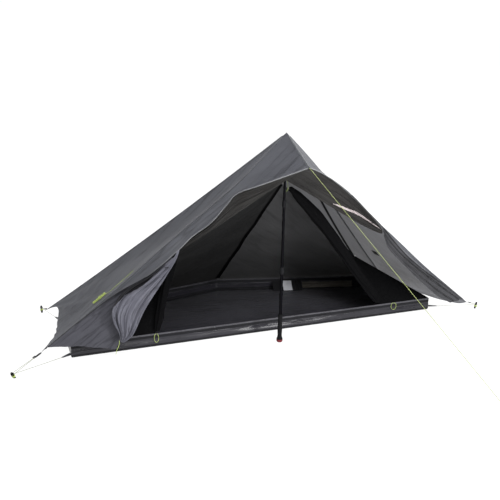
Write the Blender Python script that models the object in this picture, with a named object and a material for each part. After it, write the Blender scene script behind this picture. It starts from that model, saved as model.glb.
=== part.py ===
# Backpacking tent pitched on one upright trekking pole.
# The origin is on the ground under the pole, +X runs along the tent, +Y to its back, +Z up. Metres.
import math

import bmesh
import bpy
import numpy as np
from mathutils import Vector

for old in list(bpy.data.objects):
    bpy.data.objects.remove(old, do_unlink=True)

# Pitch: the places that hold the cloth up and out
APEX = np.array((0.0, 0.0, 1.25))
HOOD_TIP = np.array((0.0, -0.288, 1.095))
FRONT_X = 1.393
FRONT_SHIFT = 0.017
FRONT_Y = 0.077
FRONT_SKEW = 0.05
REAR_CORNER = (1.235, 0.821)
CORNER_Z = 0.08
REAR_CENTRE = np.array((0.0, 1.17, 0.06))
# Cloth
CLOTH = 0.0015
SEAM = 0.0005
NEAR = 0.0006
CAP_RING = 0.024
FRONT_SAG = ((0.0, 0.0), (0.1, 0.018), (0.19, 0.04), (0.3, 0.036), (0.45, 0.022), (0.6, 0.022), (0.72, 0.026),
             (0.86, 0.014), (1.0, 0.0))
REAR_SAG = 0.014
HEM_RISE = 0.066
HEM_SLACK = 0.047
PANEL_SAG = 0.016
ROWS = 12
# Free edge of the hood, from its tip to each front corner
HOOD_LEFT = ((-0.207, -0.14, 0.988), (-0.319, -0.06, 0.93), (-0.385, -0.065, 0.868), (-0.475, -0.075, 0.782),
             (-0.575, -0.05, 0.706), (-0.651, -0.048, 0.638), (-0.817, -0.025, 0.502), (-0.977, 0.046, 0.395),
             (-1.168, 0.091, 0.248))
HOOD_RIGHT = ((0.148, -0.162, 1.039), (0.313, -0.061, 0.955), (0.442, -0.022, 0.867), (0.533, -0.053, 0.773),
              (0.651, -0.048, 0.668), (0.82, -0.035, 0.5), (0.98, -0.015, 0.375), (1.19, 0.01, 0.235))
TIE_X = 0.651
TIE = {"left": (-0.651, -0.048, 0.638), "right": (0.65, -0.045, 0.633)}
# Doors
DOOR_LINE = (0.012, -0.065, 1.0)
DOOR_FOOT = (-0.985, 0.09, 0.045)
TIE_FRONT = (-0.657, -0.062, 0.622)
DRAPE_RIGHT_EDGE = ((-0.682, -0.069, 0.575), (-0.763, -0.035, 0.432), (-0.835, -0.005, 0.303),
                    (-0.895, 0.026, 0.159), (-0.951, 0.041, 0.105))
DRAPE_LEFT_EDGE = ((-0.80, -0.05, 0.52), (-0.95, -0.014, 0.43), (-1.007, 0.009, 0.328),
                   (-1.003, 0.022, 0.251),
                   (-0.969, 0.031, 0.173), (-0.957, 0.038, 0.108))
RIGHT_FREE_EDGE = ((0.672, -0.04, 0.60), (0.709, -0.019, 0.54), (0.784, -0.004, 0.466), (0.874, 0.009, 0.389),
                   (1.006, 0.028, 0.277), (1.1, 0.039, 0.202), (1.187, 0.049, 0.134), (1.27, 0.058, 0.073))
# Inner tent
INNER_PEAK = np.array((0.0, 0.035, 0.96))
SHOULDER = (0.75, 0.42, 0.36)
TRAY_FRONT = (1.21, 0.172)
TRAY_REAR = (1.17, 0.76)
TRAY_REAR_CENTRE = (0.0, 1.06)
TRAY_HEIGHT = 0.085
TRAY_CLOTH = 0.002
INNER_CLOTH = 0.001
DOOR_EDGE_LEFT = ((-0.35, 0.06, 0.81), (-0.62, 0.1, 0.65), (-0.69, 0.14, 0.35), (-0.72, 0.176, 0.09))
DOOR_EDGE_RIGHT = ((0.28, 0.075, 0.68), (0.56, 0.13, 0.375), (0.81, 0.176, 0.09))
# Tie loops: place along the tray, width, height
DOOR_LOOP = {"left": (-0.716, 0.026, 0.052), "right": (0.922, 0.04, 0.045)}
LOOP_CORD = 0.0011
LOOP_LEAN = 0.12
# Pocket and care label: shares of the rear wall's right half
POCKET_WIDE = (0.34, 0.516)
LABEL_WIDE = (0.402, 0.457)
POCKET_TOP = 0.064
POCKET_SAG = 0.07
LABEL_THICK = 0.0006
# Pegs
PEG_GROUND = {"front_left": (-1.531, 0.021), "front_right": (1.538, 0.087), "rear_left": (-1.243, 1.002),
              "rear_right": (1.243, 1.002), "rear_centre": (0.0, 1.36), "front_guy": (0.62, -1.256)}
PEG_LEAN = math.radians(30.0)
GUY_PEG_LEAN = math.radians(44.0)
PEG_SHOWN = 0.046
PEG_BURIED = 0.115
PEG_LOOP_AT = 0.031
FIN = 0.0065
FIN_THICK = 0.0022
COLLAR = 0.0094
# Cords and webbing
CORD = 0.001
GUY = 0.00125
PEG_LOOP = FIN + 0.0009 + CORD
STRAP_WIDE = 0.014
STRAP_THICK = 0.0014
STRAP_LONG = 0.045
STRAP_START = {"front_left": 0.0007, "front_right": 0.0027, "rear_left": 0.0016, "rear_right": 0.0016}
TAB_LONG = 0.06
BUCKLE = (0.018, 0.017, 0.0032)
# Spare guy line wound into a hank: loops, and the turns that bind them
HANK_LONG = 0.09
HANK_WIDE = 0.006
HANK_LOOPS = 4
HANK_WRAPS = 3
HANK_GAP = 0.0006
# Pole, grip down
GRIP_TOP = 0.175
SHAFT = 0.009
MIDDLE = 0.008
TIP_SHAFT = 0.007
WALL = 0.0007
LOWER_LOCK = 0.45
UPPER_LOCK = 0.85
POLE_OVERLAP = 0.075
TIP_BELOW = 0.028
TIP_TAPER = 0.057
SOCKET_DEEP = 0.019
SOCKET = 0.0065
SOCKET_WALL = 0.003


def vec(*a):
    return np.array(a[0] if len(a) == 1 else a, float)


def unit(v):
    return v / np.linalg.norm(v)


def lerp(a, b, t):
    return a + (b - a) * t


materials = {}


def material(name, colour, rough, metal=0.0):
    if name not in materials:
        m = bpy.data.materials.new(name)
        m.use_nodes = True
        s = m.node_tree.nodes["Principled BSDF"]
        s.inputs["Base Color"].default_value = (*colour, 1.0)
        s.inputs["Roughness"].default_value = rough
        s.inputs["Metallic"].default_value = metal
        materials[name] = m
    return materials[name]


FLY_CLOTH = material("fly_cloth", (0.11, 0.12, 0.13), 0.75)
FLOOR_CLOTH = material("floor_cloth", (0.045, 0.047, 0.05), 0.6)
INNER_FABRIC = material("inner_fabric", (0.05, 0.05, 0.055), 0.85)
MESH_CLOTH = material("mesh_cloth", (0.012, 0.012, 0.013), 0.9)
LIME = material("lime_cord", (0.62, 0.75, 0.18), 0.7)
WEBBING = material("webbing", (0.012, 0.012, 0.012), 0.85)
BLACK_PLASTIC = material("black_plastic", (0.015, 0.015, 0.016), 0.5)
PEG_METAL = material("peg_metal", (0.02, 0.02, 0.022), 0.4, 0.9)
POLE_METAL = material("pole_metal", (0.03, 0.03, 0.033), 0.35, 0.9)
LABEL_CLOTH = material("label_cloth", (0.8, 0.8, 0.78), 0.8)


def finish(name, bm, mat, smooth=True, angle=40.0):
    bmesh.ops.recalc_face_normals(bm, faces=bm.faces)
    mesh = bpy.data.meshes.new(name)
    bm.to_mesh(mesh)
    bm.free()
    mesh.materials.append(mat)
    if smooth:
        mesh.shade_smooth()
        mesh.set_sharp_from_angle(angle=math.radians(angle))
    obj = bpy.data.objects.new(name, mesh)
    bpy.context.collection.objects.link(obj)
    return obj


# A closed sheet on a grid of points: the grid is its inner face, the other face lies outside it.
def sheet(name, grid, thick, mat, inside, cut_corner=False):
    g = np.array(grid, float)
    rows, cols = g.shape[:2]
    du = np.gradient(g, axis=1)
    dv = np.gradient(g, axis=0)
    n = np.cross(du, dv)
    size = np.linalg.norm(n, axis=2, keepdims=True)
    n = n / np.where(size < 1e-12, 1.0, size)
    if np.sum(n * (g - vec(inside))) < 0:
        n = -n
    skip = {(0, 0)} if cut_corner else set()
    bm = bmesh.new()
    inner, outer = {}, {}
    for i in range(rows):
        for j in range(cols):
            if (i, j) in skip:
                continue
            inner[i, j] = bm.verts.new(g[i, j])
            outer[i, j] = bm.verts.new(g[i, j] + n[i, j] * thick)
    edges = {}

    def face(keys):
        bm.faces.new([inner[k] for k in keys])
        bm.faces.new([outer[k] for k in reversed(keys)])
        for a, b in zip(keys, keys[1:] + keys[:1]):
            if (b, a) in edges:
                del edges[b, a]
            else:
                edges[a, b] = True

    for i in range(rows - 1):
        for j in range(cols - 1):
            if (i, j) in skip:
                face([(i, j + 1), (i + 1, j + 1), (i + 1, j)])
                continue
            face([(i, j), (i, j + 1), (i + 1, j + 1)])
            face([(i, j), (i + 1, j + 1), (i + 1, j)])
    for a, b in edges:
        bm.faces.new([inner[b], inner[a], outer[a], outer[b]])
    return finish(name, bm, mat, angle=60.0)


def turned(name, profile, mat, segments=28, closed=False):
    bm = bmesh.new()
    rings = []
    for r, z in profile:
        if r == 0.0:
            rings.append([bm.verts.new((0, 0, z))])
            continue
        ring = []
        for k in range(segments):
            a = 2 * math.pi * k / segments
            ring.append(bm.verts.new((r * math.cos(a), r * math.sin(a), z)))
        rings.append(ring)
    pairs = list(zip(rings, rings[1:])) + ([(rings[-1], rings[0])] if closed else [])
    for lo, hi in pairs:
        for k in range(segments):
            j = (k + 1) % segments
            if len(lo) == 1:
                bm.faces.new([lo[0], hi[j], hi[k]])
            elif len(hi) == 1:
                bm.faces.new([lo[k], lo[j], hi[0]])
            else:
                bm.faces.new([lo[k], lo[j], hi[j], hi[k]])
    return finish(name, bm, mat)


def tube(name, points, radius, mat, resolution=2):
    curve = bpy.data.curves.new(name, "CURVE")
    curve.dimensions = "3D"
    curve.bevel_depth = radius
    curve.bevel_resolution = resolution
    curve.use_fill_caps = True
    curve.render_resolution_u = 0
    spline = curve.splines.new("POLY")
    spline.points.add(len(points) - 1)
    for p, q in zip(spline.points, points):
        p.co = (*q, 1.0)
    curve.materials.append(mat)
    obj = bpy.data.objects.new(name, curve)
    bpy.context.collection.objects.link(obj)
    return obj


def straight(a, b, n):
    return [lerp(vec(a), vec(b), t) for t in np.linspace(0, 1, n)]


# A smooth curve through points, read at a share of its length
def through(points):
    p = np.array(points, float)
    ext = np.vstack([2 * p[0] - p[1], p, 2 * p[-1] - p[-2]])
    fine = []
    for k in range(len(p) - 1):
        a, b, c, d = ext[k:k + 4]
        for t in np.linspace(0, 1, 12, endpoint=False):
            fine.append(0.5 * (2 * b + (c - a) * t + (2 * a - 5 * b + 4 * c - d) * t * t
                               + (3 * b - a - 3 * c + d) * t ** 3))
    fine.append(p[-1])
    fine = np.array(fine)
    run = np.concatenate([[0], np.cumsum(np.linalg.norm(np.diff(fine, axis=0), axis=1))])
    run /= run[-1]
    return lambda t: np.array([np.interp(t, run, fine[:, k]) for k in range(3)])


def frame_of(start, direction, up=(0, 0, 1)):
    x = unit(vec(direction))
    y = unit(np.cross(vec(up), x))
    z = np.cross(x, y)
    return vec(start), x, y, z


def placed(frame, p):
    o, x, y, z = frame
    return o + x * p[0] + y * p[1] + z * p[2]


def box_bm(bm, frame, lo, hi):
    corners = [bm.verts.new(placed(frame, (x, y, z))) for x in (lo[0], hi[0]) for y in (lo[1], hi[1])
               for z in (lo[2], hi[2])]
    for f in ((0, 1, 3, 2), (4, 6, 7, 5), (0, 4, 5, 1), (2, 3, 7, 6), (0, 2, 6, 4), (1, 5, 7, 3)):
        bm.faces.new([corners[i] for i in f])


# Corners of the fly
def corner(side, s):
    if side == "front":
        return vec(s * FRONT_X + FRONT_SHIFT, FRONT_Y - s * FRONT_SKEW, CORNER_Z)
    return vec(s * REAR_CORNER[0], REAR_CORNER[1], CORNER_Z)


SIDES = {"left": -1, "right": 1}
V0 = CAP_RING / np.linalg.norm((corner("front", 1) - APEX)[:2])
STEPS = np.linspace(V0, 1.0, ROWS + 1)
ALL_STEPS = np.concatenate([[0.0], STEPS])


# A ridge is one polyline, so that the two panels sewn along it meet on the same facets
def ridge(end, sag):
    pts = np.array([lerp(APEX, end, v) - vec(0, 0, sag(v)) for v in ALL_STEPS])
    return lambda v: np.array([np.interp(v, ALL_STEPS, pts[:, k]) for k in range(3)])


def front_sag(v):
    t, d = zip(*FRONT_SAG)
    return float(np.interp(v, t, d))


def rear_sag(v):
    return REAR_SAG * 4 * v * (1 - v)


RIDGE_FRONT = {s: ridge(corner("front", k), front_sag) for s, k in SIDES.items()}
RIDGE_REAR = {s: ridge(corner("rear", k), rear_sag) for s, k in SIDES.items()}
RIDGE_CENTRE = ridge(REAR_CENTRE, rear_sag)


def hood_edge(side):
    pts = HOOD_LEFT if side == "left" else HOOD_RIGHT
    end = corner("front", SIDES[side])
    curve = through([HOOD_TIP, *pts, end])
    fine = np.array([curve(t) for t in np.linspace(0, 1, 400)])
    xs = np.abs(fine[:, 0]) / abs(end[0])
    poly = np.array([[np.interp(v, xs, fine[:, k]) for k in range(3)] for v in ALL_STEPS])
    return lambda v: np.array([np.interp(v, ALL_STEPS, poly[:, k]) for k in range(3)])


HOOD_EDGE = {s: hood_edge(s) for s in SIDES}
INSIDE = (0.0, 0.3, 0.3)


def between(a, b, u, inset):
    w = np.linalg.norm(b - a)
    return lerp(a, b, (inset + u * (w - 2 * inset)) / w)


# End and rear panels of the fly: a triangle from the apex with a curved hem
def fly_surface(ra, rb, u, v, normal, slack=0.0):
    p = between(ra(v), rb(v), u, SEAM)
    low = min(1.0, max(0.0, (v - V0) / (1 - V0)))
    p = p - normal * PANEL_SAG * 4 * u * (1 - u) * math.sin(math.pi * low)
    return p - vec(0, 0, slack * (1 - abs(2 * u - 1) ** 6) * low ** 3)


def panel_normal(ra, rb):
    n = unit(np.cross(ra(1.0) - APEX, rb(1.0) - APEX))
    return n if np.dot(n, ra(1.0) - vec(INSIDE)) > 0 else -n


# The hem between two corners rises in a curve, or hangs slack below their line
def fly_panel(name, ra, rb, rise, slack=0.0, cols=10):
    normal = panel_normal(ra, rb)
    drop = APEX[2] - CORNER_Z
    grid = [[None] * (cols + 1) for _ in STEPS]
    for j, u in enumerate(np.linspace(0, 1, cols + 1)):
        end = 1.0 - rise * (1 - abs(2 * u - 1) ** 6) / drop
        for i, v in enumerate(STEPS):
            vv = V0 + (v - V0) * (end - V0) / (1 - V0)
            grid[i][j] = fly_surface(ra, rb, u, vv, normal, slack)
    return sheet(name, grid, CLOTH, FLY_CLOTH, INSIDE)


HEM = {"left": (HEM_RISE, 0.0), "right": (0.0, HEM_SLACK)}
for side, s in SIDES.items():
    fly_panel("fly_end_" + side, RIDGE_FRONT[side], RIDGE_REAR[side], *HEM[side])
    fly_panel("fly_rear_" + side, RIDGE_REAR[side], RIDGE_CENTRE, HEM_RISE * 0.7)


def hood_ends(side, v):
    if v == 0.0:
        return APEX + vec(SIDES[side] * SEAM, 0, 0), HOOD_TIP + vec(SIDES[side] * SEAM, 0, 0)
    return RIDGE_FRONT[side](v), HOOD_EDGE[side](v)


# The hood beside its free edge: the edge, the ridge, the way out past the edge and the way up off the cloth
def hood_frame(side, v):
    e, r = HOOD_EDGE[side](v), RIDGE_FRONT[side](v)
    out = unit(e - r)
    along = unit(HOOD_EDGE[side](min(1.0, v + 0.02)) - HOOD_EDGE[side](max(0.0, v - 0.02)))
    n = unit(np.cross(out, along))
    return e, r, out, (n if n[2] > 0 else -n)


def under_hood(side, v, back, down):
    e, r, out, n = hood_frame(side, v)
    return e - out * back - n * down


U0 = CAP_RING / np.linalg.norm((HOOD_TIP - APEX)[:2])
for side, s in SIDES.items():
    us = np.concatenate([[0.0], np.linspace(U0, 1.0, 7)])
    vs = np.concatenate([ALL_STEPS[:-1], [0.985]])
    grid = []
    for v in vs:
        a, b = hood_ends(side, v)
        w = np.linalg.norm(b - a)
        inset = 0.0 if v == 0.0 else SEAM
        row = [lerp(a, b, max(u, inset / w)) for u in us]
        if 0.0 < v < 0.98:
            dip = 0.006 * math.sin(math.pi * v)
            row = [p + vec(0, 0.35, -1) * dip * (4 * u * (1 - u)) ** 3 for p, u in zip(row, us)]
        grid.append(row)
    sheet("fly_hood_" + side, grid, CLOTH, FLY_CLOTH, INSIDE, cut_corner=True)


# Apex cap: a moulded plug in the ring of panels, with a socket under it for the pole's tip
def cap_ring(angle, shrink, lift):
    pts = [lerp(APEX, HOOD_TIP, U0), RIDGE_FRONT["right"](V0), RIDGE_REAR["right"](V0), RIDGE_CENTRE(V0),
           RIDGE_REAR["left"](V0), RIDGE_FRONT["left"](V0)]
    d = vec(math.cos(angle), math.sin(angle))
    for k in range(6):
        a, b = pts[k], pts[(k + 1) % 6]
        m = np.array(((d[0], a[0] - b[0]), (d[1], a[1] - b[1])))
        if abs(np.linalg.det(m)) < 1e-12:
            continue
        r, t = np.linalg.solve(m, a[:2])
        if r > 0 and -1e-9 <= t <= 1 + 1e-9:
            q = lerp(a, b, t)
            return vec(d[0] * (r - shrink), d[1] * (r - shrink), q[2] + lift)
    return None


TIP_TOP = APEX[2] - TIP_BELOW
CAP_LOW = TIP_TOP + NEAR
SOCKET_TOP = TIP_TOP + NEAR / 2
SOCKET_LOW = SOCKET_TOP - SOCKET_DEEP
bm = bmesh.new()
count = 18
angles = [2 * math.pi * (k + 0.5) / count for k in range(count)]
rings = [[bm.verts.new(cap_ring(a, 0.0009, CLOTH * 0.8)) for a in angles],
         [bm.verts.new(cap_ring(a, 0.0009, -0.003)) for a in angles]]
rings.append([bm.verts.new((0.011 * math.cos(a), 0.011 * math.sin(a), CAP_LOW)) for a in angles])
top = bm.verts.new(APEX + vec(0, 0, CLOTH))
low = bm.verts.new((0, 0, CAP_LOW))
for k in range(count):
    j = (k + 1) % count
    bm.faces.new([top, rings[0][k], rings[0][j]])
    for a, b in zip(rings, rings[1:]):
        bm.faces.new([a[k], b[k], b[j], a[j]])
    bm.faces.new([low, rings[-1][j], rings[-1][k]])
finish("apex_cap", bm, BLACK_PLASTIC)
SOCKET_OUT = SOCKET + SOCKET_WALL
turned("apex_socket", ((SOCKET, SOCKET_LOW), (SOCKET_OUT, SOCKET_LOW), (SOCKET_OUT, SOCKET_TOP), (SOCKET, SOCKET_TOP)),
       BLACK_PLASTIC, 18, closed=True)


# Doors, tied open. The cloth gathered under the hood's edge runs from the hood's tip to the tie.
def tie_v(side):
    return TIE_X / abs(corner("front", SIDES[side])[0])


for side, s in SIDES.items():
    tv = tie_v(side)
    line_a = vec(s * DOOR_LINE[0], DOOR_LINE[1], DOOR_LINE[2])
    line_b = vec(TIE[side]) + vec(-s * 0.02, 0.012, -0.012)
    cols, folds = 14, 3.0
    grid = []
    for i in range(12):
        t = 0.035 + 0.945 * i / 11
        v = tv * t
        rim = under_hood(side, v, 0.008, 0.0012 + 0.004 * (1 - t) ** 3)
        rim[0] = s * max(abs(rim[0]), 0.012)
        foot = lerp(line_a, line_b, t)
        across = unit(foot - rim)
        along = unit(HOOD_EDGE[side](v + 0.03) - HOOD_EDGE[side](v))
        n = unit(np.cross(across, along))
        n = n if n[1] < 0 else -n
        deep = 0.0055 * min(1.0, 8 * (1 - t) + 0.25) * min(1.0, 6 * t + 0.1)
        grid.append([lerp(rim, foot, u) + n * deep * (math.sin(2 * math.pi * folds * u) - 0.2)
                     * min(1.0, 6 * u) for u in np.linspace(0, 1, cols + 1)])
    sheet("door_upper_" + side, grid, INNER_CLOTH, FLY_CLOTH, (s * 0.3, 0.5, 0.5))
    if side == "right":
        neck = grid[-2][3:12]

left_v = tie_v("left")
foot_line = through([vec(TIE["left"]) + vec(0, 0.006, -0.02),
                     lerp(vec(DOOR_FOOT), vec(-0.66, -0.03, 0.6), 0.5) + vec(0, 0.012, 0), DOOR_FOOT])
grid = []
for i in range(11):
    t = 0.06 + 0.92 * i / 10
    v = lerp(left_v, 0.985, t)
    wide = np.linalg.norm(HOOD_EDGE["left"](v) - RIDGE_FRONT["left"](v))
    rim = under_hood("left", v, min(0.007, 0.3 * wide), 0.0011)
    foot = foot_line(t)
    row = []
    for u in np.linspace(0, 1, 10):
        p = lerp(rim, foot, u)
        wave = 0.006 * math.sin(math.pi * u) * math.sin(5 * math.pi * u + 0.6)
        hem = 0.012 * math.sin(math.pi * u) * t ** 6
        row.append(p + vec(0, wave, hem))
    grid.append(row)
sheet("door_lower_left", grid, INNER_CLOTH, FLY_CLOTH, (-0.6, 0.5, 0.3))

right_edge = through([TIE_FRONT, *DRAPE_RIGHT_EDGE])
left_edge = through([TIE_FRONT, *DRAPE_LEFT_EDGE])
grid = []
for i in range(14):
    t = 0.985 * i / 13
    a, b = left_edge(t), right_edge(t)
    row = []
    for u in np.linspace(0, 1, 19):
        if i == 0:
            e, r, out, n = hood_frame("left", left_v + 0.010 - 0.016 * u)
            row.append(e + out * 0.0009 + n * 0.0002)
            continue
        deep = 0.009 * min(1.0, 0.15 + 3.2 * t) * min(1.0, 0.25 + 5 * (1 - t))
        p = lerp(a, b, u) + vec(0.1, 1, 0.16) * deep * math.sin(2 * math.pi * 3.5 * (u ** 0.9) + 0.4)
        row.append(p)
    grid.append(row)
sheet("door_drape_left", grid, INNER_CLOTH, FLY_CLOTH, (-0.7, 0.5, 0.3))
TIED = {"left": grid[2][6:13], "right": neck}

right_v = tie_v("right")
free_edge = through(RIGHT_FREE_EDGE)
grid = []
for i in range(13):
    t = i / 12
    v = lerp(right_v + 0.012, 0.93, t)
    wide = np.linalg.norm(HOOD_EDGE["right"](v) - RIDGE_FRONT["right"](v))
    rim = under_hood("right", v, min(0.007, 0.3 * wide), 0.0011 + 0.003 * t)
    foot = free_edge(t)
    row = []
    for u in np.linspace(0, 1, 9):
        wave = 0.007 * math.sin(math.pi * u) * math.sin(3 * math.pi * u + 5 * t)
        row.append(lerp(rim, foot, u) + vec(0, wave, 0))
    grid.append(row)
sheet("door_drape_right", grid, INNER_CLOTH, FLY_CLOTH, (0.6, 0.5, 0.3))


# Tie-back toggles: a waisted bar on a short stem that turns in the tie
def toggle(name, at, out):
    o = vec(at)
    n = unit(vec(out))
    x = unit(np.cross(n, vec(0, 0, 1)))
    y = np.cross(n, x)
    bm = bmesh.new()
    prof = ((-0.011, 0.0), (-0.0107, 0.0016), (-0.0095, 0.0026), (-0.004, 0.0028), (0.0, 0.0021), (0.004, 0.0028),
            (0.0095, 0.0026), (0.0107, 0.0016), (0.011, 0.0))
    rings = []
    for d, r in prof:
        if r == 0.0:
            rings.append([bm.verts.new(n * 0.006 + x * d)])
        else:
            rings.append([bm.verts.new(n * 0.006 + x * d + y * r * math.cos(a) + n * r * math.sin(a))
                          for a in np.linspace(0, 2 * math.pi, 12, endpoint=False)])
    for lo, hi in zip(rings, rings[1:]):
        for k in range(12):
            j = (k + 1) % 12
            if len(lo) == 1:
                bm.faces.new([lo[0], hi[j], hi[k]])
            elif len(hi) == 1:
                bm.faces.new([lo[k], lo[j], hi[0]])
            else:
                bm.faces.new([lo[k], lo[j], hi[j], hi[k]])
    obj = finish(name, bm, BLACK_PLASTIC)
    stem = bmesh.new()
    low = [stem.verts.new(x * 0.0014 * math.cos(a) + y * 0.0014 * math.sin(a))
           for a in np.linspace(0, 2 * math.pi, 10, endpoint=False)]
    high = [stem.verts.new(v.co + Vector(n * 0.005)) for v in low]
    stem.faces.new(low)
    stem.faces.new(high[::-1])
    for k in range(10):
        stem.faces.new([low[k], high[k], high[(k + 1) % 10], low[(k + 1) % 10]])
    cut = finish(name + "_stem", stem, BLACK_PLASTIC)
    cut.hide_render = True
    cut.display_type = "WIRE"
    join = obj.modifiers.new("stem", "BOOLEAN")
    join.operation = "UNION"
    join.solver = "EXACT"
    join.object = cut
    obj.location = o
    cut.location = o
    return obj


TOGGLE_OUT = {"left": (-0.12, -0.97, 0.2), "right": (0.12, -0.97, 0.2)}
for side in SIDES:
    out = unit(vec(TOGGLE_OUT[side]))
    seat = max(TIED[side], key=lambda q: np.dot(q, out))
    toggle("door_toggle_" + side, seat + out * (INNER_CLOTH + NEAR), out)

# Inner tent: the tray
TRAY = [(-TRAY_FRONT[0], TRAY_FRONT[1]), (TRAY_FRONT[0], TRAY_FRONT[1]), (TRAY_REAR[0], TRAY_REAR[1]),
        TRAY_REAR_CENTRE, (-TRAY_REAR[0], TRAY_REAR[1])]


def inset_ring(pts, d):
    out = []
    for k in range(len(pts)):
        p, a, b = vec(pts[k]), vec(pts[k - 1]), vec(pts[(k + 1) % len(pts)])
        e1, e2 = unit(p - a), unit(b - p)
        n1, n2 = vec(-e1[1], e1[0]), vec(-e2[1], e2[0])
        out.append(p + (n1 + n2) * d / (1 + np.dot(n1, n2)))
    return out


bm = bmesh.new()
levels = ((0.0, 0.0), (0.0, TRAY_HEIGHT), (TRAY_CLOTH, TRAY_HEIGHT), (TRAY_CLOTH, TRAY_CLOTH))
rings = [[bm.verts.new((*p, z)) for p in inset_ring(TRAY, d)] for d, z in levels]
bm.faces.new(rings[0][::-1])
for a, b in zip(rings, rings[1:]):
    for k in range(5):
        j = (k + 1) % 5
        bm.faces.new([a[k], a[j], b[j], b[k]])
bm.faces.new(rings[-1])
tray = finish("groundsheet", bm, FLOOR_CLOTH, smooth=False)

# Pegs: a leaning three-fin shank with a collar that keeps the cord down
PEG_OUT = {"rear_centre": (0.0, 1.0), "front_guy": (0.55, -0.83)}
for side, s in SIDES.items():
    for end in ("front", "rear"):
        c = corner(end, s)
        g = vec(PEG_GROUND[end + "_" + side])
        PEG_OUT[end + "_" + side] = tuple(unit(g - c[:2]))


def peg_axis(name):
    o = unit(vec(PEG_OUT[name]))
    lean = GUY_PEG_LEAN if name == "front_guy" else PEG_LEAN
    return vec(o[0] * math.sin(lean), o[1] * math.sin(lean), math.cos(lean))


def peg_loop_centre(name):
    return vec(*PEG_GROUND[name], 0.0) + peg_axis(name) * PEG_LOOP_AT


def fin_section(scale):
    pts = []
    for k in range(3):
        a = 2 * math.pi * k / 3
        root, half = 0.0018 * scale, FIN_THICK / 2 * scale
        for lx, ly in ((root + 0.0006, -half), (FIN * scale, -half), (FIN * scale, half), (root + 0.0006, half)):
            pts.append((lx * math.cos(a) - ly * math.sin(a), lx * math.sin(a) + ly * math.cos(a)))
    return pts


def round_section(radius):
    out = []
    for p in fin_section(1.0):
        a = math.atan2(p[1], p[0])
        out.append((radius * math.cos(a), radius * math.sin(a)))
    return out


def peg(name):
    g = vec(*PEG_GROUND[name], 0.0)
    z = peg_axis(name)
    o = vec(*PEG_OUT[name], 0.0)
    x = unit(o - z * np.dot(o, z))
    y = np.cross(z, x)
    collar = PEG_LOOP_AT + GUY + 0.0004
    sections = ((-PEG_BURIED, fin_section(0.3)), (-PEG_BURIED + 0.02, fin_section(1.0)),
                (collar, fin_section(1.0)),
                (collar, round_section(COLLAR)), (collar + 0.0022, round_section(COLLAR)),
                (collar + 0.0022, fin_section(1.0)), (PEG_SHOWN - 0.001, fin_section(1.0)),
                (PEG_SHOWN, fin_section(0.8)))
    bm = bmesh.new()
    rings = [[bm.verts.new(x * px + y * py + z * h) for px, py in pts] for h, pts in sections]
    count = len(rings[0])
    for a, b in zip(rings, rings[1:]):
        for k in range(count):
            j = (k + 1) % count
            bm.faces.new([a[k], a[j], b[j], b[k]])
    bm.faces.new(rings[0][::-1])
    bm.faces.new(rings[-1])
    obj = finish("peg_" + name, bm, PEG_METAL, smooth=False)
    obj.location = g
    return obj


for name in PEG_GROUND:
    peg(name)


# A cord round a peg: half a turn on the far side of the shank
def peg_turn(name, towards, start=-90.0, end=90.0, steps=8, radius=PEG_LOOP):
    z = peg_axis(name)
    c = peg_loop_centre(name)
    x = unit(vec(towards) - c)
    x = -unit(x - z * np.dot(x, z))
    y = np.cross(z, x)
    return [c + x * radius * math.cos(math.radians(a)) + y * radius * math.sin(math.radians(a))
            for a in np.linspace(start, end, steps + 1)]


# Corner hardware: strap, buckle and the cord to the peg
def strap(name, frame, long):
    bm = bmesh.new()
    half = STRAP_WIDE / 2
    rings = []
    for k in range(7):
        t = k / 6
        x = long * t
        wide = half * (0.62 + 0.38 * min(1.0, 3 * t))
        dip = -0.0006 * math.sin(math.pi * t)
        rings.append([bm.verts.new(placed(frame, p)) for p in
                      ((x, -wide, dip - STRAP_THICK / 2), (x, wide, dip - STRAP_THICK / 2),
                       (x, wide, dip + STRAP_THICK / 2), (x, -wide, dip + STRAP_THICK / 2))])
    for a, b in zip(rings, rings[1:]):
        for k in range(4):
            j = (k + 1) % 4
            bm.faces.new([a[k], a[j], b[j], b[k]])
    bm.faces.new(rings[0][::-1])
    bm.faces.new(rings[-1])
    return finish(name, bm, WEBBING)


def buckle(name, frame):
    lx, ly, lz = BUCKLE
    z0 = STRAP_THICK / 2 + 0.0004
    bm = bmesh.new()
    box_bm(bm, frame, (-0.005, -ly / 2, z0), (lx - 0.005, ly / 2, z0 + lz))
    obj = finish(name, bm, BLACK_PLASTIC, smooth=False)
    for tag, x0, x1 in (("a", -0.002, 0.002), ("b", 0.005, 0.0095)):
        bm = bmesh.new()
        box_bm(bm, frame, (x0, -ly / 2 + 0.003, z0 - 0.002), (x1, ly / 2 - 0.003, z0 + lz + 0.002))
        cut = finish(name + "_slot_" + tag, bm, BLACK_PLASTIC, smooth=False)
        cut.hide_render = True
        cut.display_type = "WIRE"
        mod = obj.modifiers.new("slot_" + tag, "BOOLEAN")
        mod.operation = "DIFFERENCE"
        mod.solver = "EXACT"
        mod.object = cut
    bevel = obj.modifiers.new("edges", "BEVEL")
    bevel.width = 0.0005
    bevel.segments = 1
    bevel.limit_method = "ANGLE"
    return obj


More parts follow.
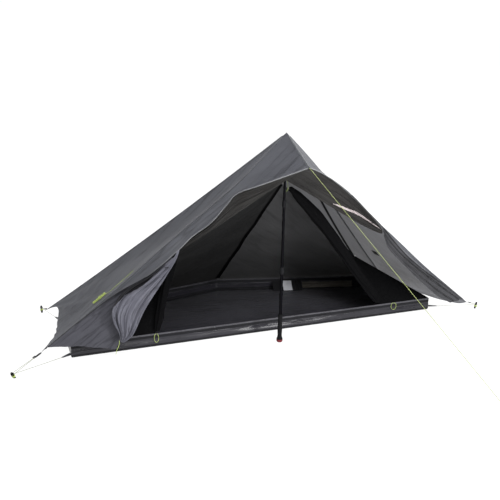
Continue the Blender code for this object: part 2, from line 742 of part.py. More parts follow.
def corner_cord(name, frame, peg_name):
    z0 = STRAP_THICK / 2 + 0.0004
    low = z0 - CORD - 0.0005
    sides = []
    for y in (-0.0026, 0.0026):
        sides.append([placed(frame, p) for p in ((0.0072, y, z0 + 0.0014), (0.0076, y, z0 - 0.0004),
                                                 (0.0088, y, low), (0.0115, y, low - 0.0002),
                                                 (0.0145, y, low), (0.019, y, low + 0.0002))])
    turn = peg_turn(peg_name, frame[0])
    if np.linalg.norm(turn[0] - sides[0][-1]) > np.linalg.norm(turn[0] - sides[1][-1]):
        sides.reverse()
    n = max(4, int(np.linalg.norm(turn[0] - sides[0][-1]) / 0.022))
    out = sides[0] + straight(sides[0][-1], turn[0], n + 1)[1:-1] + turn
    back = sides[1] + straight(sides[1][-1], turn[-1], n + 1)[1:-1]
    return tube(name, out + back[::-1], CORD, LIME)


def tab_end(end, s):
    t = vec(*(vec(TRAY_FRONT if end == "front" else TRAY_REAR) * vec(s, 1)), 0.030)
    p = peg_loop_centre(end + "_" + ("left" if s < 0 else "right"))
    flat = unit(vec(p[0] - t[0], p[1] - t[1], -0.02))
    return t, flat


for side, s in SIDES.items():
    for end in ("front", "rear"):
        key = end + "_" + side
        c = corner(end, s)
        target = peg_loop_centre(key)
        d = unit(target - c)
        start = c + d * STRAP_START[key]
        strap("corner_strap_" + key, frame_of(start, d), STRAP_LONG)
        at = frame_of(start + d * STRAP_LONG, d)
        buckle("corner_buckle_" + key, at)
        corner_cord("corner_cord_" + key, at, key)
        t, flat = tab_end(end, s)
        frame = frame_of(t, flat)
        bm = bmesh.new()
        rings = []
        for x, wide in ((-0.0012, 0.016), (0.02, 0.0125), (TAB_LONG - 0.012, 0.0075), (TAB_LONG, 0.0055)):
            rings.append([bm.verts.new(placed(frame, p)) for p in
                          ((x, -wide, -0.001), (x, wide, -0.001), (x, wide, 0.001), (x, -wide, 0.001))])
        for a, b in zip(rings, rings[1:]):
            for k in range(4):
                j = (k + 1) % 4
                bm.faces.new([a[k], a[j], b[j], b[k]])
        bm.faces.new(rings[0][::-1])
        bm.faces.new(rings[-1])
        cut = finish("tray_tab_" + key, bm, FLOOR_CLOTH, smooth=False)
        cut.hide_render = True
        cut.display_type = "WIRE"
        mod = tray.modifiers.new("tab_" + key, "BOOLEAN")
        mod.operation = "UNION"
        mod.solver = "EXACT"
        mod.object = cut
        z = peg_axis(key)
        c2 = peg_loop_centre(key) - z * 0.0045
        tip = t + flat * (TAB_LONG + 0.0005)
        back = unit((tip - c2) - z * np.dot(tip - c2, z))
        tube("tray_cord_" + key, straight(tip, c2 + back * (FIN + 0.0009), 8), 0.0009, LIME)


# Inner tent walls, each cut just clear of its neighbours
def edge_left_right(side):
    pts = DOOR_EDGE_LEFT if side == "left" else DOOR_EDGE_RIGHT
    return through([INNER_PEAK, *pts])


RIM = TRAY_HEIGHT + 0.0007
PEAK_REAR = INNER_PEAK + vec(0, 0.0022, 0)


def wall_point(u, v):
    k = -1 if u < 0.5 else 1
    w = abs(2 * u - 1)
    shoulder = vec(k * SHOULDER[0], SHOULDER[1] + 0.0014, SHOULDER[2] + 0.0006)
    top = lerp(PEAK_REAR, shoulder, w)
    a = vec(TRAY_REAR_CENTRE[0], TRAY_REAR_CENTRE[1] - 0.001, RIM)
    b = vec(k * (TRAY_REAR[0] - 0.003), TRAY_REAR[1] - 0.001, RIM)
    low = lerp(a, b, w)
    p = lerp(top, low, v)
    bow = 0.012 * math.sin(math.pi * v) * math.sin(math.pi * min(1.0, w))
    crease = 0.004 * math.sin(math.pi * v) ** 2 * math.sin(7 * math.pi * v + 2.2 * w)
    return p + vec(0, -0.8, -0.6) * (bow + crease * (1 - 0.5 * w))


WALL_COLS, WALL_ROWS = 14, 11
grid = [[wall_point(u, v) for u in np.linspace(0, 1, WALL_COLS + 1)]
        for v in np.linspace(0.004, 1, WALL_ROWS + 1)]
sheet("inner_rear", grid, INNER_CLOTH, INNER_FABRIC, (0, 0.3, 0.2))

for side, s in SIDES.items():
    top = vec(s * (SHOULDER[0] + 0.0016), SHOULDER[1], SHOULDER[2])
    a = vec(s * (TRAY_FRONT[0] - 0.001), TRAY_FRONT[1] + 0.004, RIM)
    b = vec(s * (TRAY_REAR[0] - 0.001), TRAY_REAR[1] - 0.004, RIM)
    grid = [[lerp(top, lerp(a, b, u), v) for u in np.linspace(0, 1, 7)] for v in np.linspace(0.012, 1, 6)]
    sheet("inner_end_" + side, grid, INNER_CLOTH, INNER_FABRIC, (0, 0.3, 0.1))

    edge = edge_left_right(side)
    foot = vec(s * (TRAY_FRONT[0] - 0.005), TRAY_FRONT[1] + 0.0005, RIM)
    shoulder = vec(s * SHOULDER[0], SHOULDER[1] - 0.0022, SHOULDER[2] - 0.0004)
    outer_pts = [INNER_PEAK + vec(s * 0.0012, 0, 0), shoulder]
    grid = []
    for i in range(12):
        t = 0.012 + 0.988 * i / 11
        if t < 0.62:
            outer = lerp(outer_pts[0], outer_pts[1], t / 0.62)
        else:
            outer = lerp(shoulder, foot, (t - 0.62) / 0.38)
        inner = edge(t)
        inner[2] = max(inner[2], RIM)
        inner[0] = s * max(abs(inner[0]), 0.0012)
        row = []
        for u in np.linspace(0, 1, 7):
            p = lerp(inner, outer, u)
            p = p + vec(0, 0.012, -0.004) * math.sin(math.pi * u) * math.sin(math.pi * t)
            if i == 11:
                p[2] = RIM
                p[1] = TRAY_FRONT[1] + 0.0005 + (inner[1] - TRAY_FRONT[1]) * (1 - u)
            row.append(p)
        grid.append(row)
    sheet("inner_front_" + side, grid, INNER_CLOTH, MESH_CLOTH, (0, 0.6, 0.2))


# The mesh doors, bunched lengthwise: a lobed roll along the door's edge
def bunch(name, path, sizes, mat, lobes, phase):
    steps, around = 17, 15
    bm = bmesh.new()
    rings = []
    for i in range(steps + 1):
        t = i / steps
        c = path(t)
        d = unit(path(min(1.0, t + 0.02)) - path(max(0.0, t - 0.02)))
        x = unit(np.cross(d, vec(0, 1, 0)))
        y = np.cross(d, x)
        r = np.interp(t, *zip(*sizes))
        ring = []
        for k in range(around):
            a = 2 * math.pi * k / around
            fold = 1 + 0.2 * math.cos(lobes * a + phase + 3.1 * t) + 0.08 * math.sin(2 * a + 7 * t)
            ring.append(bm.verts.new(c + (x * math.cos(a) * 1.15 + y * math.sin(a) * 0.8) * r * fold))
        rings.append(ring)
    for a, b in zip(rings, rings[1:]):
        for k in range(around):
            j = (k + 1) % around
            bm.faces.new([a[k], a[j], b[j], b[k]])
    bm.faces.new(rings[0][::-1])
    bm.faces.new(rings[-1])
    return finish(name, bm, mat, angle=75.0)


BAND_OFF = vec(0, -0.0164, 0.003)
band_right = through([INNER_PEAK + vec(0.03, -0.012, -0.028), vec(DOOR_EDGE_RIGHT[0]) + BAND_OFF,
                      vec(DOOR_EDGE_RIGHT[1]) + BAND_OFF,
                      vec(DOOR_EDGE_RIGHT[2]) + BAND_OFF + vec(-0.01, 0, 0.016)])
bunch("mesh_door_right", band_right, ((0, 0.005), (0.12, 0.011), (0.6, 0.0145), (0.92, 0.0145), (1, 0.009)),
      MESH_CLOTH, 5, 0.3)
band_left = through([vec(DOOR_EDGE_LEFT[1]) + vec(0.012, -0.0145, 0.01),
                     lerp(vec(DOOR_EDGE_LEFT[1]), vec(DOOR_EDGE_LEFT[2]), 0.5) + vec(0.012, -0.018, 0),
                     vec(DOOR_EDGE_LEFT[2]) + vec(0.01, -0.0167, 0),
                     vec(DOOR_EDGE_LEFT[3]) + vec(0.004, -0.0151, 0.016)])
bunch("mesh_door_left", band_left, ((0, 0.005), (0.1, 0.012), (0.5, 0.0165), (0.85, 0.0145), (1, 0.009)),
      MESH_CLOTH, 5, 1.1)


# Tie loops of the mesh doors, sewn at the tray's rim and hanging over its front wall
def ring_loop(name, centre, radius_x, radius_y):
    z = unit(vec(0, -1, LOOP_LEAN))
    x = vec(1, 0, 0)
    y = np.cross(z, x)
    bm = bmesh.new()
    rings = []
    count = 18
    for k in range(count):
        a = 2 * math.pi * k / count
        c = vec(centre) + x * radius_x * math.cos(a) + y * radius_y * math.sin(a)
        radial = unit(x * math.cos(a) / radius_x + y * math.sin(a) / radius_y)
        rings.append([bm.verts.new(c + radial * LOOP_CORD * math.cos(b) + z * LOOP_CORD * math.sin(b))
                      for b in np.linspace(0, 2 * math.pi, 6, endpoint=False)])
    for k in range(count):
        a, b = rings[k], rings[(k + 1) % count]
        for m in range(6):
            j = (m + 1) % 6
            bm.faces.new([a[m], a[j], b[j], b[m]])
    return finish(name, bm, LIME)


for side, (x, wide, tall) in DOOR_LOOP.items():
    y = TRAY_FRONT[1] - LOOP_CORD - NEAR - LOOP_LEAN * tall / 2
    ring_loop("door_loop_" + side, (x, y, TRAY_HEIGHT - tall / 2), wide / 2, tall / 2)


# A flat pocket that sags off the tray's rear wall on to the floor, with a care label sewn on it
WALL_FOOT = inset_ring(TRAY, TRAY_CLOTH)


def off_tray(w, s, off):
    def surface(w, s):
        a, b = WALL_FOOT[3], WALL_FOOT[2]
        along = unit(b - a)
        p = lerp(a, b, w) + vec(along[1], -along[0]) * (NEAR + POCKET_SAG * s ** 1.4)
        return vec(*p, lerp(POCKET_TOP, TRAY_CLOTH + 0.0012, s))
    across = surface(w + 0.01, s) - surface(w - 0.01, s)
    down = surface(w, s + 0.01) - surface(w, max(0.0, s - 0.01))
    n = unit(np.cross(across, down))
    return surface(w, s) + (n if n[2] > 0 else -n) * off


BEHIND_WALL = (0.8, 1.6, -0.6)
grid = [[off_tray(w, s, 0.0) for w in np.linspace(*POCKET_WIDE, 7)] for s in np.linspace(0, 1, 7)]
pocket = sheet("wall_pocket", grid, INNER_CLOTH, INNER_FABRIC, BEHIND_WALL)
grid = [[off_tray(w, s, INNER_CLOTH + NEAR) for w in np.linspace(*LABEL_WIDE, 4)]
        for s in np.linspace(0.06, 0.97, 7)]
sheet("care_label", grid, LABEL_THICK, LABEL_CLOTH, BEHIND_WALL)

# The cord from the inner tent's peak to the apex
peak_path = through([INNER_PEAK + vec(0.006, 0.003, 0.006), (0.019, 0.028, 1.0), (0.012, 0.02, 1.1),
                     (0.004, 0.0103, SOCKET_LOW + 0.004)])
tube("inner_peak_cord", [peak_path(x) for x in np.linspace(0, 1, 14)], 0.0011, LIME)

# Rear centre: the hem's pull-out loop, a cord from the hem round the peg
start = REAR_CENTRE + vec(0, 0.0022, 0)
turn = peg_turn("rear_centre", start)
legs = [[REAR_CENTRE + vec(x, 0.0003, 0.0), REAR_CENTRE + vec(x * 1.6, 0.012, -0.004)]
        for x in (-0.0024, 0.0024)]
if np.linalg.norm(turn[0] - legs[0][1]) > np.linalg.norm(turn[0] - legs[1][1]):
    legs.reverse()
out = legs[0] + straight(legs[0][1], turn[0], 9)[1:-1] + turn + straight(turn[-1], legs[1][1], 9)[1:-1] \
    + legs[1][::-1]
tube("rear_loop", out, CORD, LIME)

# Front guy line: from the hood's tip, once round its peg
turn = peg_turn("front_guy", HOOD_TIP, -90.0, 205.0, 12, FIN + 0.0009 + GUY)
away = unit(turn[0] - HOOD_TIP)
tube("front_guy", straight(HOOD_TIP + away * 0.0010, turn[0], 28)[:-1] + turn, GUY, LIME)


# Side guy lines, wound into hanks that lie on the end panels
def hank(side):
    s = SIDES[side]
    ra, rb = RIDGE_FRONT[side], RIDGE_REAR[side]
    normal = panel_normal(ra, rb)

    def on(u, v, off):
        return fly_surface(ra, rb, u, v, normal, HEM[side][1]) + normal * (CLOTH + off)

    r = CORD
    top = on(0.16, 0.63, r + 0.0008)
    c = on(0.135, 0.765, 0.0)
    d = unit(on(0.14, 0.80, 0.0) - on(0.13, 0.73, 0.0))
    normal = unit(np.cross(on(0.16, 0.765, 0.0) - on(0.11, 0.765, 0.0), d)) * np.sign(
        np.dot(np.cross(on(0.16, 0.765, 0.0) - on(0.11, 0.765, 0.0), d), normal))
    d = unit(d - normal * np.dot(d, normal))
    w = np.cross(normal, d)
    far = HANK_LONG / 2 - HANK_WIDE
    oval = [(-far, 180), (-far, 225), (-far, 270), (0, 270), (far, 270), (far, 315), (far, 0), (far, 45), (far, 90),
            (0, 90), (-far, 90), (-far, 135)]
    pitch = 2 * r + HANK_GAP
    clear = 2 * r + HANK_GAP + 0.0002
    h0 = clear + r + 0.0014

    def at(x, y, z):
        return c + d * x + w * y + normal * z

    coil = []
    for k in range(HANK_LOOPS * len(oval) + 3):
        x, a = oval[k % len(oval)]
        a = math.radians(a)
        coil.append(at(x + (HANK_WIDE * math.cos(a) if x else 0.0), HANK_WIDE * math.sin(a),
                       h0 + pitch * k / len(oval)))
    half = pitch * (HANK_LOOPS + 0.3) / 2
    wraps = [(-1, 1, 105), (1, 1, 75), (1, 1, 45), (1, 1, 15), (1, -1, -15), (1, -1, -45), (1, -1, -75),
             (-1, -1, -105), (-1, -1, -135), (-1, -1, -165), (-1, 1, 165), (-1, 1, 135)]
    bind = []
    for k in range(HANK_WRAPS * len(wraps) + 1):
        sx, sz, a = wraps[k % len(wraps)]
        a = math.radians(a)
        bind.append(at(-0.006 + (pitch + 0.0003) * k / len(wraps), sx * HANK_WIDE + clear * math.cos(a),
                       h0 + half + sz * half + clear * math.sin(a)))
    low = r + 0.0016
    start = -far - HANK_WIDE
    lead = straight(top, at(start - 0.02, 0.004, low), 6) + [at(start - 0.008, 0.0035, low + 0.0008)]
    pts = lead + coil + bind
    dense = np.array(pts)
    seg = np.linalg.norm(np.diff(dense, axis=0), axis=1)
    run = np.concatenate([[0], np.cumsum(seg)])
    fine = np.array([[np.interp(x, run, dense[:, k]) for k in range(3)]
                     for x in np.arange(0, run[-1], 0.001)])
    gap = 1.0
    for i in range(0, len(fine), 2):
        far = fine[i + 7:]
        if len(far):
            gap = min(gap, float(np.min(np.linalg.norm(far - fine[i], axis=1))))
    print("hank", side, "length m", round(run[-1], 3), "smallest gap mm", round((gap - 2 * r) * 1000, 2))
    tube("side_hank_" + side, pts, r, LIME, resolution=1)


for side in SIDES:
    hank(side)


# Pole: grip down, three telescoping shafts with two twist locks
BORE = SHAFT + 0.0003
turned("pole_grip", ((0, 0), (0.0125, 0), (0.0165, 0.003), (0.0186, 0.010), (0.0186, 0.019), (0.0165, 0.027),
                     (0.0138, 0.034), (0.0128, 0.045), (0.0136, 0.06), (0.0142, 0.075), (0.0134, 0.09),
                     (0.0142, 0.105), (0.0134, 0.12), (0.0142, 0.135), (0.0132, 0.15), (0.0136, 0.165),
                     (0.0126, GRIP_TOP - 0.002), (0.0118, GRIP_TOP), (BORE, GRIP_TOP), (BORE, 0.0315), (0, 0.03)),
       BLACK_PLASTIC, 22)


def pole_tube(name, radius, low, high):
    bore = radius - WALL
    return turned(name, ((radius, low), (radius, high), (bore, high), (bore, low)), POLE_METAL, 20, closed=True)


pole_tube("pole_shaft_grip", SHAFT, 0.0322, LOWER_LOCK)
middle_low = LOWER_LOCK - POLE_OVERLAP
pole_tube("pole_shaft_middle", MIDDLE, middle_low, UPPER_LOCK)


def lock_ring(name, at, big, small):
    b, s = big + 0.0003, small + 0.0028
    section = ((b, at - 0.026), (b + 0.0018, at - 0.026), (b + 0.0032, at - 0.021), (b + 0.0034, at - 0.004),
               (b + 0.003, at + 0.010), (s, at + 0.016), (b, at + 0.016))
    return turned(name, section, BLACK_PLASTIC, 24, closed=True)


lock_ring("pole_lock_lower", LOWER_LOCK, SHAFT, MIDDLE)
lock_ring("pole_lock_upper", UPPER_LOCK, MIDDLE, TIP_SHAFT)
tip_low = UPPER_LOCK - POLE_OVERLAP
inner = TIP_SHAFT - WALL
shoulder = TIP_TOP - TIP_TAPER
profile = ((TIP_SHAFT, tip_low), (TIP_SHAFT, shoulder), (0.0069, shoulder + 0.003), (0.0058, shoulder + 0.02),
           (0.0046, shoulder + 0.038), (0.0042, TIP_TOP - 0.004), (0.003, TIP_TOP - 0.001), (0.0, TIP_TOP))
bm = bmesh.new()
segments = 20
rings = []
for r, z in ((inner, tip_low), *profile):
    if r == 0.0:
        rings.append([bm.verts.new((0, 0, z))])
    else:
        turns = [2 * math.pi * k / segments for k in range(segments)]
        rings.append([bm.verts.new((r * math.cos(a), r * math.sin(a), z)) for a in turns])
cap = [bm.verts.new((v.co.x, v.co.y, shoulder - 0.015)) for v in rings[0]]
for a, b in [(cap, rings[0]), *zip(rings, rings[1:])]:
    for k in range(segments):
        j = (k + 1) % segments
        if len(b) == 1:
            bm.faces.new([a[k], a[j], b[0]])
        else:
            bm.faces.new([a[k], a[j], b[j], b[k]])
bm.faces.new(cap[::-1])
finish("pole_shaft_tip", bm, POLE_METAL)
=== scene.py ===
# A backpacking tent pitched on one upright trekking pole, seen from its front left corner.
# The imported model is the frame: hard pieces keep their solids, and the cloth and the cords are made anew
# in their places.
import math

import bpy
import numpy as np
from mathutils import Matrix


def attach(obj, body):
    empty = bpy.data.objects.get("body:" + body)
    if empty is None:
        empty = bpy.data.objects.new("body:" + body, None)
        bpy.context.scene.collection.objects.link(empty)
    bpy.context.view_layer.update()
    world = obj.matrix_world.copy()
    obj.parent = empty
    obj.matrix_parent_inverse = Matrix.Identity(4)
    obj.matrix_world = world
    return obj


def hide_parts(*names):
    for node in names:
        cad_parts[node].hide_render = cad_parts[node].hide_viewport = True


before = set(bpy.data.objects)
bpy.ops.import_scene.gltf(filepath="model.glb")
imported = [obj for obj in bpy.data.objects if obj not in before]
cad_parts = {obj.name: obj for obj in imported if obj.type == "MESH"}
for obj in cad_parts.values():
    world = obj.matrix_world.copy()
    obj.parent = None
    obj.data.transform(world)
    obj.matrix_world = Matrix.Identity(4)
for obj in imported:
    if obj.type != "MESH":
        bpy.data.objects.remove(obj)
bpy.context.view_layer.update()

# Camera: at standing height off the front left corner, as in the photograph. Its place, turn and focal length
# are fitted to the picture, with the pole's set length as the scale.
CAMERA_AT = (-1.896, -3.829, 1.702)
CAMERA_YAW, CAMERA_PITCH, CAMERA_ROLL = math.radians(23.8), math.radians(14.9), math.radians(-1.32)
FOCAL_PIXELS, IMAGE_PIXELS, SENSOR = 758.0, 500.0, 36.0

ahead = np.array((math.sin(CAMERA_YAW) * math.cos(CAMERA_PITCH), math.cos(CAMERA_YAW) * math.cos(CAMERA_PITCH),
                  -math.sin(CAMERA_PITCH)))
level = np.array((math.cos(CAMERA_YAW), -math.sin(CAMERA_YAW), 0.0))
down = np.cross(ahead, level)
right = level * math.cos(CAMERA_ROLL) + down * math.sin(CAMERA_ROLL)
under = down * math.cos(CAMERA_ROLL) - level * math.sin(CAMERA_ROLL)
lens = bpy.data.cameras.new("camera")
lens.sensor_width = SENSOR
lens.lens = FOCAL_PIXELS / IMAGE_PIXELS * SENSOR
lens.clip_end = 200.0
camera = bpy.data.objects.new("camera", lens)
turn = Matrix([(right[k], -under[k], -ahead[k]) for k in range(3)])
camera.matrix_world = Matrix.Translation(CAMERA_AT) @ turn.to_4x4()
bpy.context.collection.objects.link(camera)
bpy.context.scene.camera = camera

# Cords: 2 mm and 2.5 mm lime braided line, polyester over a straight core, with a paler tracer thread.
# Each goes from a buckle, tab or hem round the shank of its peg, under the collar, and is tied there.
LIME = (0.30, 0.42, 0.05)
LIME_PALE = (0.62, 0.72, 0.26)
CORD = 0.001
GUY = 0.00125
TRAY_LINE = 0.0009
PEG_GROUND = {"front_left": (-1.531, 0.021), "front_right": (1.538, 0.087), "rear_left": (-1.243, 1.002),
              "rear_right": (1.243, 1.002), "rear_centre": (0.0, 1.36), "front_guy": (0.62, -1.256)}
PEG_LOOP_AT = 0.031
FIN, LOOP_GAP = 0.0065, 0.0009
PEG_LEAN, GUY_PEG_LEAN = math.radians(30.0), math.radians(44.0)
APEX = np.array((0.0, 0.0, 1.25))
HOOD_TIP = np.array((0.0, -0.288, 1.095))
REAR_CENTRE = np.array((0.0, 1.17, 0.06))
SIDES = {"left": -1, "right": 1}


def vec(*a):
    return np.array(a[0] if len(a) == 1 else a, float)


def unit(v):
    return v / np.linalg.norm(v)


def lerp(a, b, t):
    return a + (b - a) * t


def corner(end, s):
    if end == "front":
        return vec(s * 1.393 + 0.017, 0.077 - s * 0.05, 0.08)
    return vec(s * 1.235, 0.821, 0.08)


def smooth_path(points, samples=14):
    p = np.array(points, float)
    ext = np.vstack([2 * p[0] - p[1], p, 2 * p[-1] - p[-2]])
    fine = []
    for k in range(len(p) - 1):
        a, b, c, d = ext[k:k + 4]
        for t in np.linspace(0, 1, samples, endpoint=False):
            fine.append(0.5 * (2 * b + (c - a) * t + (2 * a - 5 * b + 4 * c - d) * t * t
                               + (3 * b - a - 3 * c + d) * t ** 3))
    fine.append(p[-1])
    return np.array(fine)


def through(points):
    fine = smooth_path(points)
    run = np.concatenate([[0], np.cumsum(np.linalg.norm(np.diff(fine, axis=0), axis=1))])
    run /= run[-1]
    return lambda t: np.stack([np.interp(t, run, fine[:, k]) for k in range(3)], axis=-1)


def shader(name, rough=0.6, metal=0.0):
    m = bpy.data.materials.new(name)
    m.use_nodes = True
    s = m.node_tree.nodes["Principled BSDF"]
    s.inputs["Roughness"].default_value = rough
    s.inputs["Metallic"].default_value = metal
    return m, m.node_tree, s


def add(tree, kind, **values):
    n = tree.nodes.new("ShaderNode" + kind)
    for key, value in values.items():
        if hasattr(n, key):
            setattr(n, key, value)
        else:
            n.inputs[key.replace("_", " ")].default_value = value
    return n


def link(tree, a, b):
    tree.links.new(a, b)


def two_tone(tree, shader_node, factor, low, high):
    ramp = tree.nodes.new("ShaderNodeValToRGB")
    ramp.color_ramp.elements[0].color = (*low, 1.0)
    ramp.color_ramp.elements[1].color = (*high, 1.0)
    link(tree, factor, ramp.inputs["Fac"])
    link(tree, ramp.outputs["Color"], shader_node.inputs["Base Color"])
    return ramp


def range_of(tree, source, low, high, socket):
    m = add(tree, "MapRange", To_Min=low, To_Max=high)
    link(tree, source, m.inputs["Value"])
    link(tree, m.outputs["Result"], socket)
    return m


def braided(name, low, high, scale):
    m, tree, s = shader(name, 0.55)
    where = add(tree, "TexCoord")
    strands = add(tree, "TexWave", wave_type="BANDS", bands_direction="DIAGONAL",
                  Scale=scale, Distortion=1.5, Detail=1.0)
    link(tree, where.outputs["Object"], strands.inputs["Vector"])
    two_tone(tree, s, strands.outputs["Fac"], low, high)
    grain = add(tree, "TexNoise", Scale=900.0)
    link(tree, where.outputs["Object"], grain.inputs["Vector"])
    range_of(tree, grain.outputs["Fac"], 0.45, 0.75, s.inputs["Roughness"])
    bump = add(tree, "Bump", Strength=0.5, Distance=0.0003)
    link(tree, strands.outputs["Fac"], bump.inputs["Height"])
    link(tree, bump.outputs["Normal"], s.inputs["Normal"])
    return m


LIME_CORD = braided("lime_cord", LIME, LIME_PALE, 260.0)
# Painted shade: the guy line, the peg cords and the tray lines are darker copies of the same lime cord, for the
# shade they show against the floor; the guy line is less dark.
GUY_CORD_SHADED = braided("guy_cord_painted_shade", (0.20, 0.24, 0.07), (0.42, 0.48, 0.19), 180.0)
PEG_CORD_SHADED = braided("peg_cord_painted_shade", (0.075, 0.09, 0.03), (0.19, 0.22, 0.08), 260.0)


def cord_piece(name, points, radius, mat, exit, replaced=None):
    curve = bpy.data.curves.new(name, "CURVE")
    curve.dimensions = "3D"
    curve.bevel_depth = radius
    curve.bevel_resolution = 3
    curve.use_fill_caps = True
    curve.materials.append(mat)
    spline = curve.splines.new("POLY")
    spline.points.add(len(points) - 1)
    for slot, q in zip(spline.points, points):
        slot.co = (*q, 1.0)
    obj = bpy.data.objects.new(name, curve)
    bpy.context.collection.objects.link(obj)
    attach(obj, "tent")
    if replaced:
        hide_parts(replaced)
    return obj


PEG_OUT = {"rear_centre": (0.0, 1.0), "front_guy": (0.55, -0.83)}
CORNERS = [(end + "_" + side, end, s) for side, s in SIDES.items() for end in ("front", "rear")]
for key, end, s in CORNERS:
    PEG_OUT[key] = tuple(unit(vec(PEG_GROUND[key]) - corner(end, s)[:2]))


def peg_axis(name):
    o = unit(vec(PEG_OUT[name]))
    lean = GUY_PEG_LEAN if name == "front_guy" else PEG_LEAN
    return vec(o[0] * math.sin(lean), o[1] * math.sin(lean), math.cos(lean))


def peg_loop_centre(name):
    return vec(*PEG_GROUND[name], 0.0) + peg_axis(name) * PEG_LOOP_AT


def peg_turn(name, towards, start=-90.0, end=90.0, steps=10, radius=FIN + LOOP_GAP + CORD):
    z = peg_axis(name)
    c = peg_loop_centre(name)
    x = unit(vec(towards) - c)
    x = -unit(x - z * np.dot(x, z))
    y = np.cross(z, x)
    return [c + x * radius * math.cos(math.radians(a)) + y * radius * math.sin(math.radians(a))
            for a in np.linspace(start, end, steps + 1)]


def straight(a, b, n, sag=0.0):
    return [lerp(vec(a), vec(b), t) - vec(0, 0, 4 * sag * t * (1 - t)) for t in np.linspace(0, 1, n)]


def eased(points, corners, wide=0.0034, step=0.0006, keep=3):
    """The same path with the corners at the numbered points rounded off, as cord lies."""
    p = np.array(points)
    run = np.concatenate([[0], np.cumsum(np.linalg.norm(np.diff(p, axis=0), axis=1))])
    s = np.linspace(0, run[-1], int(run[-1] / step))
    fine = np.stack([np.interp(s, run, p[:, k]) for k in range(3)], axis=1)
    spread = np.full(len(s), 0.0005)
    for c in corners:
        spread = np.maximum(spread, wide * np.exp(-((s - run[c]) / 0.008) ** 2))
    window = int(3 * wide / step)
    out = fine.copy()
    for i in range(1, len(s) - 1):
        a, b = max(0, i - window), min(len(s), i + window + 1)
        w = np.exp(-0.5 * ((s[a:b] - s[i]) / spread[i]) ** 2)
        out[i] = (fine[a:b] * w[:, None]).sum(axis=0) / w.sum()
    return [*out[:-1:keep], out[-1]]


# Front guy line: 1.6 m of 2.5 mm braided cord that holds the hood out over the doorway. It starts at the hood's
# tip, is pulled tight, and goes most of a turn round its peg, under the collar.
GUY_POINTS = 34
turn_points = peg_turn("front_guy", HOOD_TIP, end=205.0, steps=18, radius=FIN + LOOP_GAP + GUY)
away = unit(turn_points[0] - HOOD_TIP)
guy_points = eased(straight(HOOD_TIP + away * 0.001, turn_points[0], GUY_POINTS)[:-1] + turn_points,
                   [GUY_POINTS - 1], step=0.002)
cord_piece("front_guy_line", guy_points, GUY, GUY_CORD_SHADED, tuple(guy_points[0]), "front_guy")

# Corner cords: 2 mm braided cord, a loop through each corner buckle and round the corner's peg. Pulled through
# the buckle, it tightens the fly.
STRAP_THICK, STRAP_LONG, STRAP_WIDE = 0.0014, 0.045, 0.014
STRAP_START = {"front_left": 0.0007, "front_right": 0.0027, "rear_left": 0.0016, "rear_right": 0.0016}
TAB_LONG = 0.06
POINT_STEP = 0.016


def round_peg(legs, loop, count=0):
    """A cord from its first leg to the peg, round the loop there and back to its other leg."""
    if np.linalg.norm(loop[0] - legs[0][-1]) > np.linalg.norm(loop[0] - legs[1][-1]):
        legs = legs[::-1]
    count = count or max(4, int(np.linalg.norm(loop[0] - legs[0][-1]) / POINT_STEP)) + 1
    return (legs[0] + straight(legs[0][-1], loop[0], count)[1:-1] + loop
            + straight(loop[-1], legs[1][-1], count)[1:-1] + legs[1][::-1])


def frame_of(start, direction, up=(0, 0, 1)):
    x = unit(vec(direction))
    y = unit(np.cross(vec(up), x))
    return vec(start), x, y, np.cross(x, y)


def placed(f, p):
    return f[0] + f[1] * p[0] + f[2] * p[1] + f[3] * p[2]


CORNER_FRAMES = {}
for key, end, s in CORNERS:
    c = corner(end, s)
    d = unit(peg_loop_centre(key) - c)
    strap_end = c + d * (STRAP_START[key] + STRAP_LONG)
    CORNER_FRAMES[key] = (frame_of(c + d * STRAP_START[key], d), frame_of(strap_end, d))
    f = CORNER_FRAMES[key][1]
    z0 = STRAP_THICK / 2 + 0.0004
    low = z0 - CORD - 0.0005
    legs = [[placed(f, p) for p in ((0.0072, y, z0 + 0.0014), (0.0076, y, z0 - 0.0004), (0.0088, y, low),
                                    (0.0115, y, low - 0.0002), (0.0145, y, low), (0.019, y, low + 0.0002))]
            for y in (-0.0026, 0.0026)]
    points = round_peg(legs, peg_turn(key, f[0]))
    cord_piece("peg_cord_painted_shade_" + key, points, CORD, PEG_CORD_SHADED, tuple(points[0]),
               "corner_cord_" + key)

# Spare cord: what is left of each corner cord and of the rear one, in the same 2 mm braid. It is wound four
# times round its peg, below the loop.
SPARE_BELOW, SPARE_GAP, SPARE_PITCH, SPARE_TURNS = 0.0175, 0.0012, 0.0024, 4
for key in PEG_GROUND:
    if key != "front_guy":
        z = peg_axis(key)
        c = peg_loop_centre(key) - z * SPARE_BELOW
        x = unit(np.cross(z, vec(0.2, 1, 0)))
        y = np.cross(z, x)
        points = [c + (x * math.cos(a) + y * math.sin(a)) * (FIN + SPARE_GAP + CORD)
                  + z * SPARE_PITCH * a / (2 * math.pi)
                  for a in np.linspace(0, 2 * math.pi * SPARE_TURNS, 61)]
        cord_piece("spare_cord_" + key, points, CORD, LIME_CORD, tuple(points[0]))

# Tray lines: 1.8 mm braided cord, one from each corner tab of the floor to the same peg as the fly's corner.
# They pull the floor flat.
TABS = {}
TRAY_FRONT, TRAY_REAR, TRAY_BACK_Y = (1.21, 0.172), (1.17, 0.76), 1.06
TAB_HEIGHT, TRAY_LINE_BELOW = 0.030, 0.0045
for key, end, s in CORNERS:
    x, y = TRAY_FRONT if end == "front" else TRAY_REAR
    t = vec(s * x, y, TAB_HEIGHT)
    p = peg_loop_centre(key)
    flat = unit(vec(p[0] - t[0], p[1] - t[1], -0.02))
    TABS[key] = frame_of(t, flat)
    c2 = p - peg_axis(key) * TRAY_LINE_BELOW
    tip = t + flat * (TAB_LONG + 0.0005)
    back = unit((tip - c2) - peg_axis(key) * np.dot(tip - c2, peg_axis(key)))
    points = straight(tip, c2 + back * (FIN + LOOP_GAP), 14)
    cord_piece("tray_line_" + key, points, TRAY_LINE, PEG_CORD_SHADED, tuple(points[0]),
               "tray_cord_" + key)

